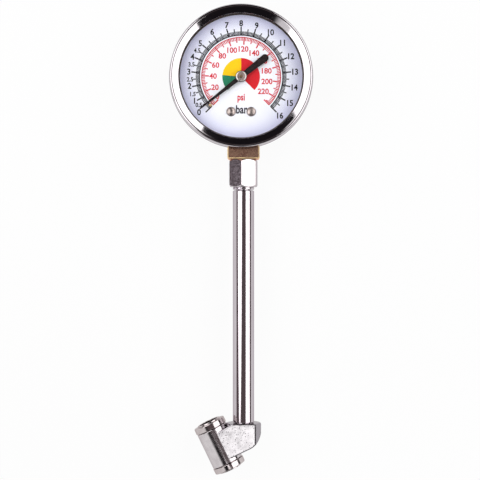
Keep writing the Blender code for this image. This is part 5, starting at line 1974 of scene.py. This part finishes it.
@dataclass(frozen=True)
class Softbox:
    """A softbox lamp.

    Attributes:
        name: the lamp's name.
        place: its middle.
        aim: the point that it faces.
        size: its width and its length along Y.
        front: the form of its front.
        radiance: how bright its front is, seen straight on.
        spread: angle that its grid lets light out through; 180 without a grid.
    """

    name: str
    place: Point
    aim: Point
    size: Point
    front: Front
    radiance: float
    spread: float = 180.0

    def grid_share(self) -> float:
        """Share of the light that its grid lets through.

        Returns:
            1 without a grid.
        """
        if self.spread >= 180.0:
            return 1.0
        reach = math.radians(self.spread / 2)
        lost = (reach / 2 - math.sin(2 * reach) / 4) / math.tan(reach)
        return 2 * (math.sin(reach) ** 2 / 2 - lost)

    def build(self) -> None:
        """Hang the lamp."""
        lamp = bpy.data.lights.new(self.name, "AREA")
        lamp.shape = self.front.value
        lamp.size_y, lamp.size = (side * MM for side in self.size)
        share = math.pi / 4 if self.front is Front.OVAL else 1.0
        lamp.energy = self.radiance * math.pi * lamp.size * lamp.size_y * share * self.grid_share()
        lamp.spread = math.radians(self.spread)
        box = linked(self.name, lamp)
        back = (Vector(self.place) - Vector(self.aim)).normalized()
        along = (Vector((0.0, 1.0, 0.0)) - back * back.y).normalized()
        turn = Matrix((along, back.cross(along), back)).transposed()
        box.matrix_world = Matrix.LocRotScale(Vector(self.place) * MM, turn, None)
        box.visible_camera = False


@dataclass
class Studio:
    """The camera, lamps, floor and surroundings; a way's height is the sine of its angle.

    Attributes:
        camera: the camera's place.
        lens: its focal length.
        sensor: width of its frame.
        clip: nearest and farthest that it sees, in metres.
        floor: height of the floor.
        floor_reach: half the floor's width.
        paper: two tones of the floor's paper.
        paper_grain: its blotches in a metre.
        paper_middle: the floor's shaded middle, in metres.
        shade_span: how far from it the floor starts and ends turning white, in metres.
        white_share: how much of the white covers the paper there.
        lamps: the softboxes.
        white: colour of the floor, the wall and the screen.
        screen: the way to the pale screen, seen from above.
        screen_span: how nearly a way leads to it at its edge, and inside it.
        screen_top: heights at which its upper edge starts and ends to fade.
        room: colour of the dark room at the sides, and at the ends.
        ends_span: where the one passes into the other.
        wall_top: heights at which the white wall's upper edge starts and ends to fade.
        wall_drop: how much lower it is on the right.
        drop_span: where that starts and ends.
    """

    camera: Point = (-0.53, -75.7, 706.4)
    lens: float = 111.12
    sensor: float = 36.0
    clip: Point = (0.01, 100.0)
    floor: float = -0.02
    floor_reach: float = 6000.0
    paper: tuple[Colour, Colour] = ((0.9, 0.9, 0.905), (0.92, 0.92, 0.92))
    paper_grain: float = 900.0
    paper_middle: Point = (0.0, 0.07, 0.0)
    shade_span: Point = (0.16, 0.5)
    white_share: Point = (0.93, 1.0)
    lamps: tuple[Softbox, ...] = (
        Softbox(
            "left_softbox",
            place=(-256.0, 58.0, 321.0),
            aim=(1.0, 58.0, 15.0),
            size=(372.0, 556.0),
            front=Front.OVAL,
            radiance=2.35,
        ),
        Softbox(
            "right_softbox",
            place=(373.0, 130.0, 350.0),
            aim=(1.0, 130.0, 15.0),
            size=(424.0, 916.0),
            front=Front.SQUARE,
            radiance=2.35,
        ),
        Softbox(
            "foot_softbox",
            place=(45.0, -336.0, 405.0),
            aim=(30.0, -230.0, 17.0),
            size=(150.0, 180.0),
            front=Front.SQUARE,
            radiance=1.9,
            spread=42.0,
        ),
    )
    white: Colour = (1.0, 1.0, 1.0)
    screen: Point = (-0.83, -0.56, 0.0)
    screen_span: Point = (0.93, 0.975)
    screen_top: Point = (0.7, 0.86)
    room: tuple[Colour, Colour] = ((0.13, 0.1, 0.105), (0.012, 0.01, 0.012))
    ends_span: Point = (0.09, 0.26)
    wall_top: Point = (0.122, 0.165)
    wall_drop: float = 0.14
    drop_span: Point = (0.1, 0.6)

    def build(self) -> None:
        """Set the studio up."""
        bpy.context.scene.view_settings.view_transform = "Standard"
        self._camera()
        for lamp in self.lamps:
            lamp.build()
        self._floor()
        self._surroundings()

    def _camera(self) -> None:
        """The camera, straight above the gauge."""
        eye = bpy.data.cameras.new("camera")
        eye.lens = self.lens
        eye.sensor_width = self.sensor
        eye.clip_start, eye.clip_end = self.clip
        camera = linked("camera", eye)
        camera.location = Vector(self.camera) * MM
        bpy.context.scene.camera = camera

    def _floor(self) -> None:
        """The floor's sheet of paper."""
        shape = Shape()
        bmesh.ops.create_grid(shape.bm, x_segments=1, y_segments=1, size=self.floor_reach)
        shape.moved(Matrix.Translation((0.0, 0.0, self.floor)))
        floor = linked("floor", shape.mesh("floor"))
        floor.data.materials.append(self._paper())

    def _paper(self) -> bpy.types.Material:
        """Pale paper, white far off and shaded by the gauge close to it.

        Returns:
            The material.
        """
        material = bpy.data.materials.new("floor_paper")
        material.use_nodes = True
        material.node_tree.nodes.clear()
        graph = Graph(material.node_tree)
        place = graph.place()
        reach = graph.measure("DISTANCE", place, self.paper_middle)
        near = graph.ramp(reach, self.shade_span, self.white_share)
        rays = graph.add("LightPath").outputs
        seen = graph.math("MAXIMUM", rays["Is Camera Ray"], rays["Is Glossy Ray"])
        seen = graph.math("MAXIMUM", seen, rays["Is Transmission Ray"])
        paper = graph.blend(graph.effect(surface_grain(), place, self.paper_grain)["Fine"], *self.paper)
        lit = graph.add("BsdfDiffuse", {"Color": paper}).outputs["BSDF"]
        white = graph.add("Emission", {"Color": self.white, "Strength": 1.0}).outputs["Emission"]
        mixed = graph.add("MixShader", {0: graph.math("MULTIPLY", seen, near), 1: lit, 2: white})
        graph.add("OutputMaterial", {"Surface": mixed.outputs["Shader"]})
        return material

    def _surroundings(self) -> None:
        """A white wall at eye level, a pale screen in one corner, and a dark room above them."""
        world = bpy.data.worlds.new("studio_room")
        bpy.context.scene.world = world
        world.use_nodes = True
        world.node_tree.nodes.clear()
        graph = Graph(world.node_tree)
        look = graph.add("TexCoord").outputs["Generated"]
        way = graph.add("SeparateXYZ", {0: look}).outputs
        level = graph.vector("NORMALIZE", graph.vector("MULTIPLY", look, (1.0, 1.0, 0.0)))
        corner = graph.ramp(graph.measure("DOT_PRODUCT", level, self.screen), self.screen_span)
        screen = graph.math("MULTIPLY", corner, graph.ramp(way["Z"], self.screen_top, (1.0, 0.0)))
        room = graph.blend(graph.ramp(graph.math("ABSOLUTE", way["Y"]), self.ends_span), *self.room)
        drop = graph.ramp(way["X"], self.drop_span, (0.0, self.wall_drop))
        wall = graph.ramp(graph.math("ADD", way["Z"], drop), self.wall_top, (1.0, 0.0))
        colour = graph.blend(graph.math("MAXIMUM", wall, screen), room, self.white)
        glow = graph.add("Background", {"Color": colour, "Strength": 1.0})
        graph.add("OutputWorld", {"Surface": glow.outputs["Background"]})


def assemblies() -> Iterator[Any]:
    """Put the sub-assemblies in order.

    Returns:
        The sub-assemblies, in the order that they are built.
    """
    stem = Stem()
    yield GaugeHead()
    yield DialFace()
    yield PointerSet()
    yield Movement()
    yield stem
    yield Chuck(stem)


def main() -> None:
    """Load the frame, build every sub-assembly and the studio."""
    logging.basicConfig(level=logging.INFO, format="%(message)s")
    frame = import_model()
    for assembly in assemblies():
        assembly.build(frame)
    Studio().build()


if __name__ == "__main__":
    main()
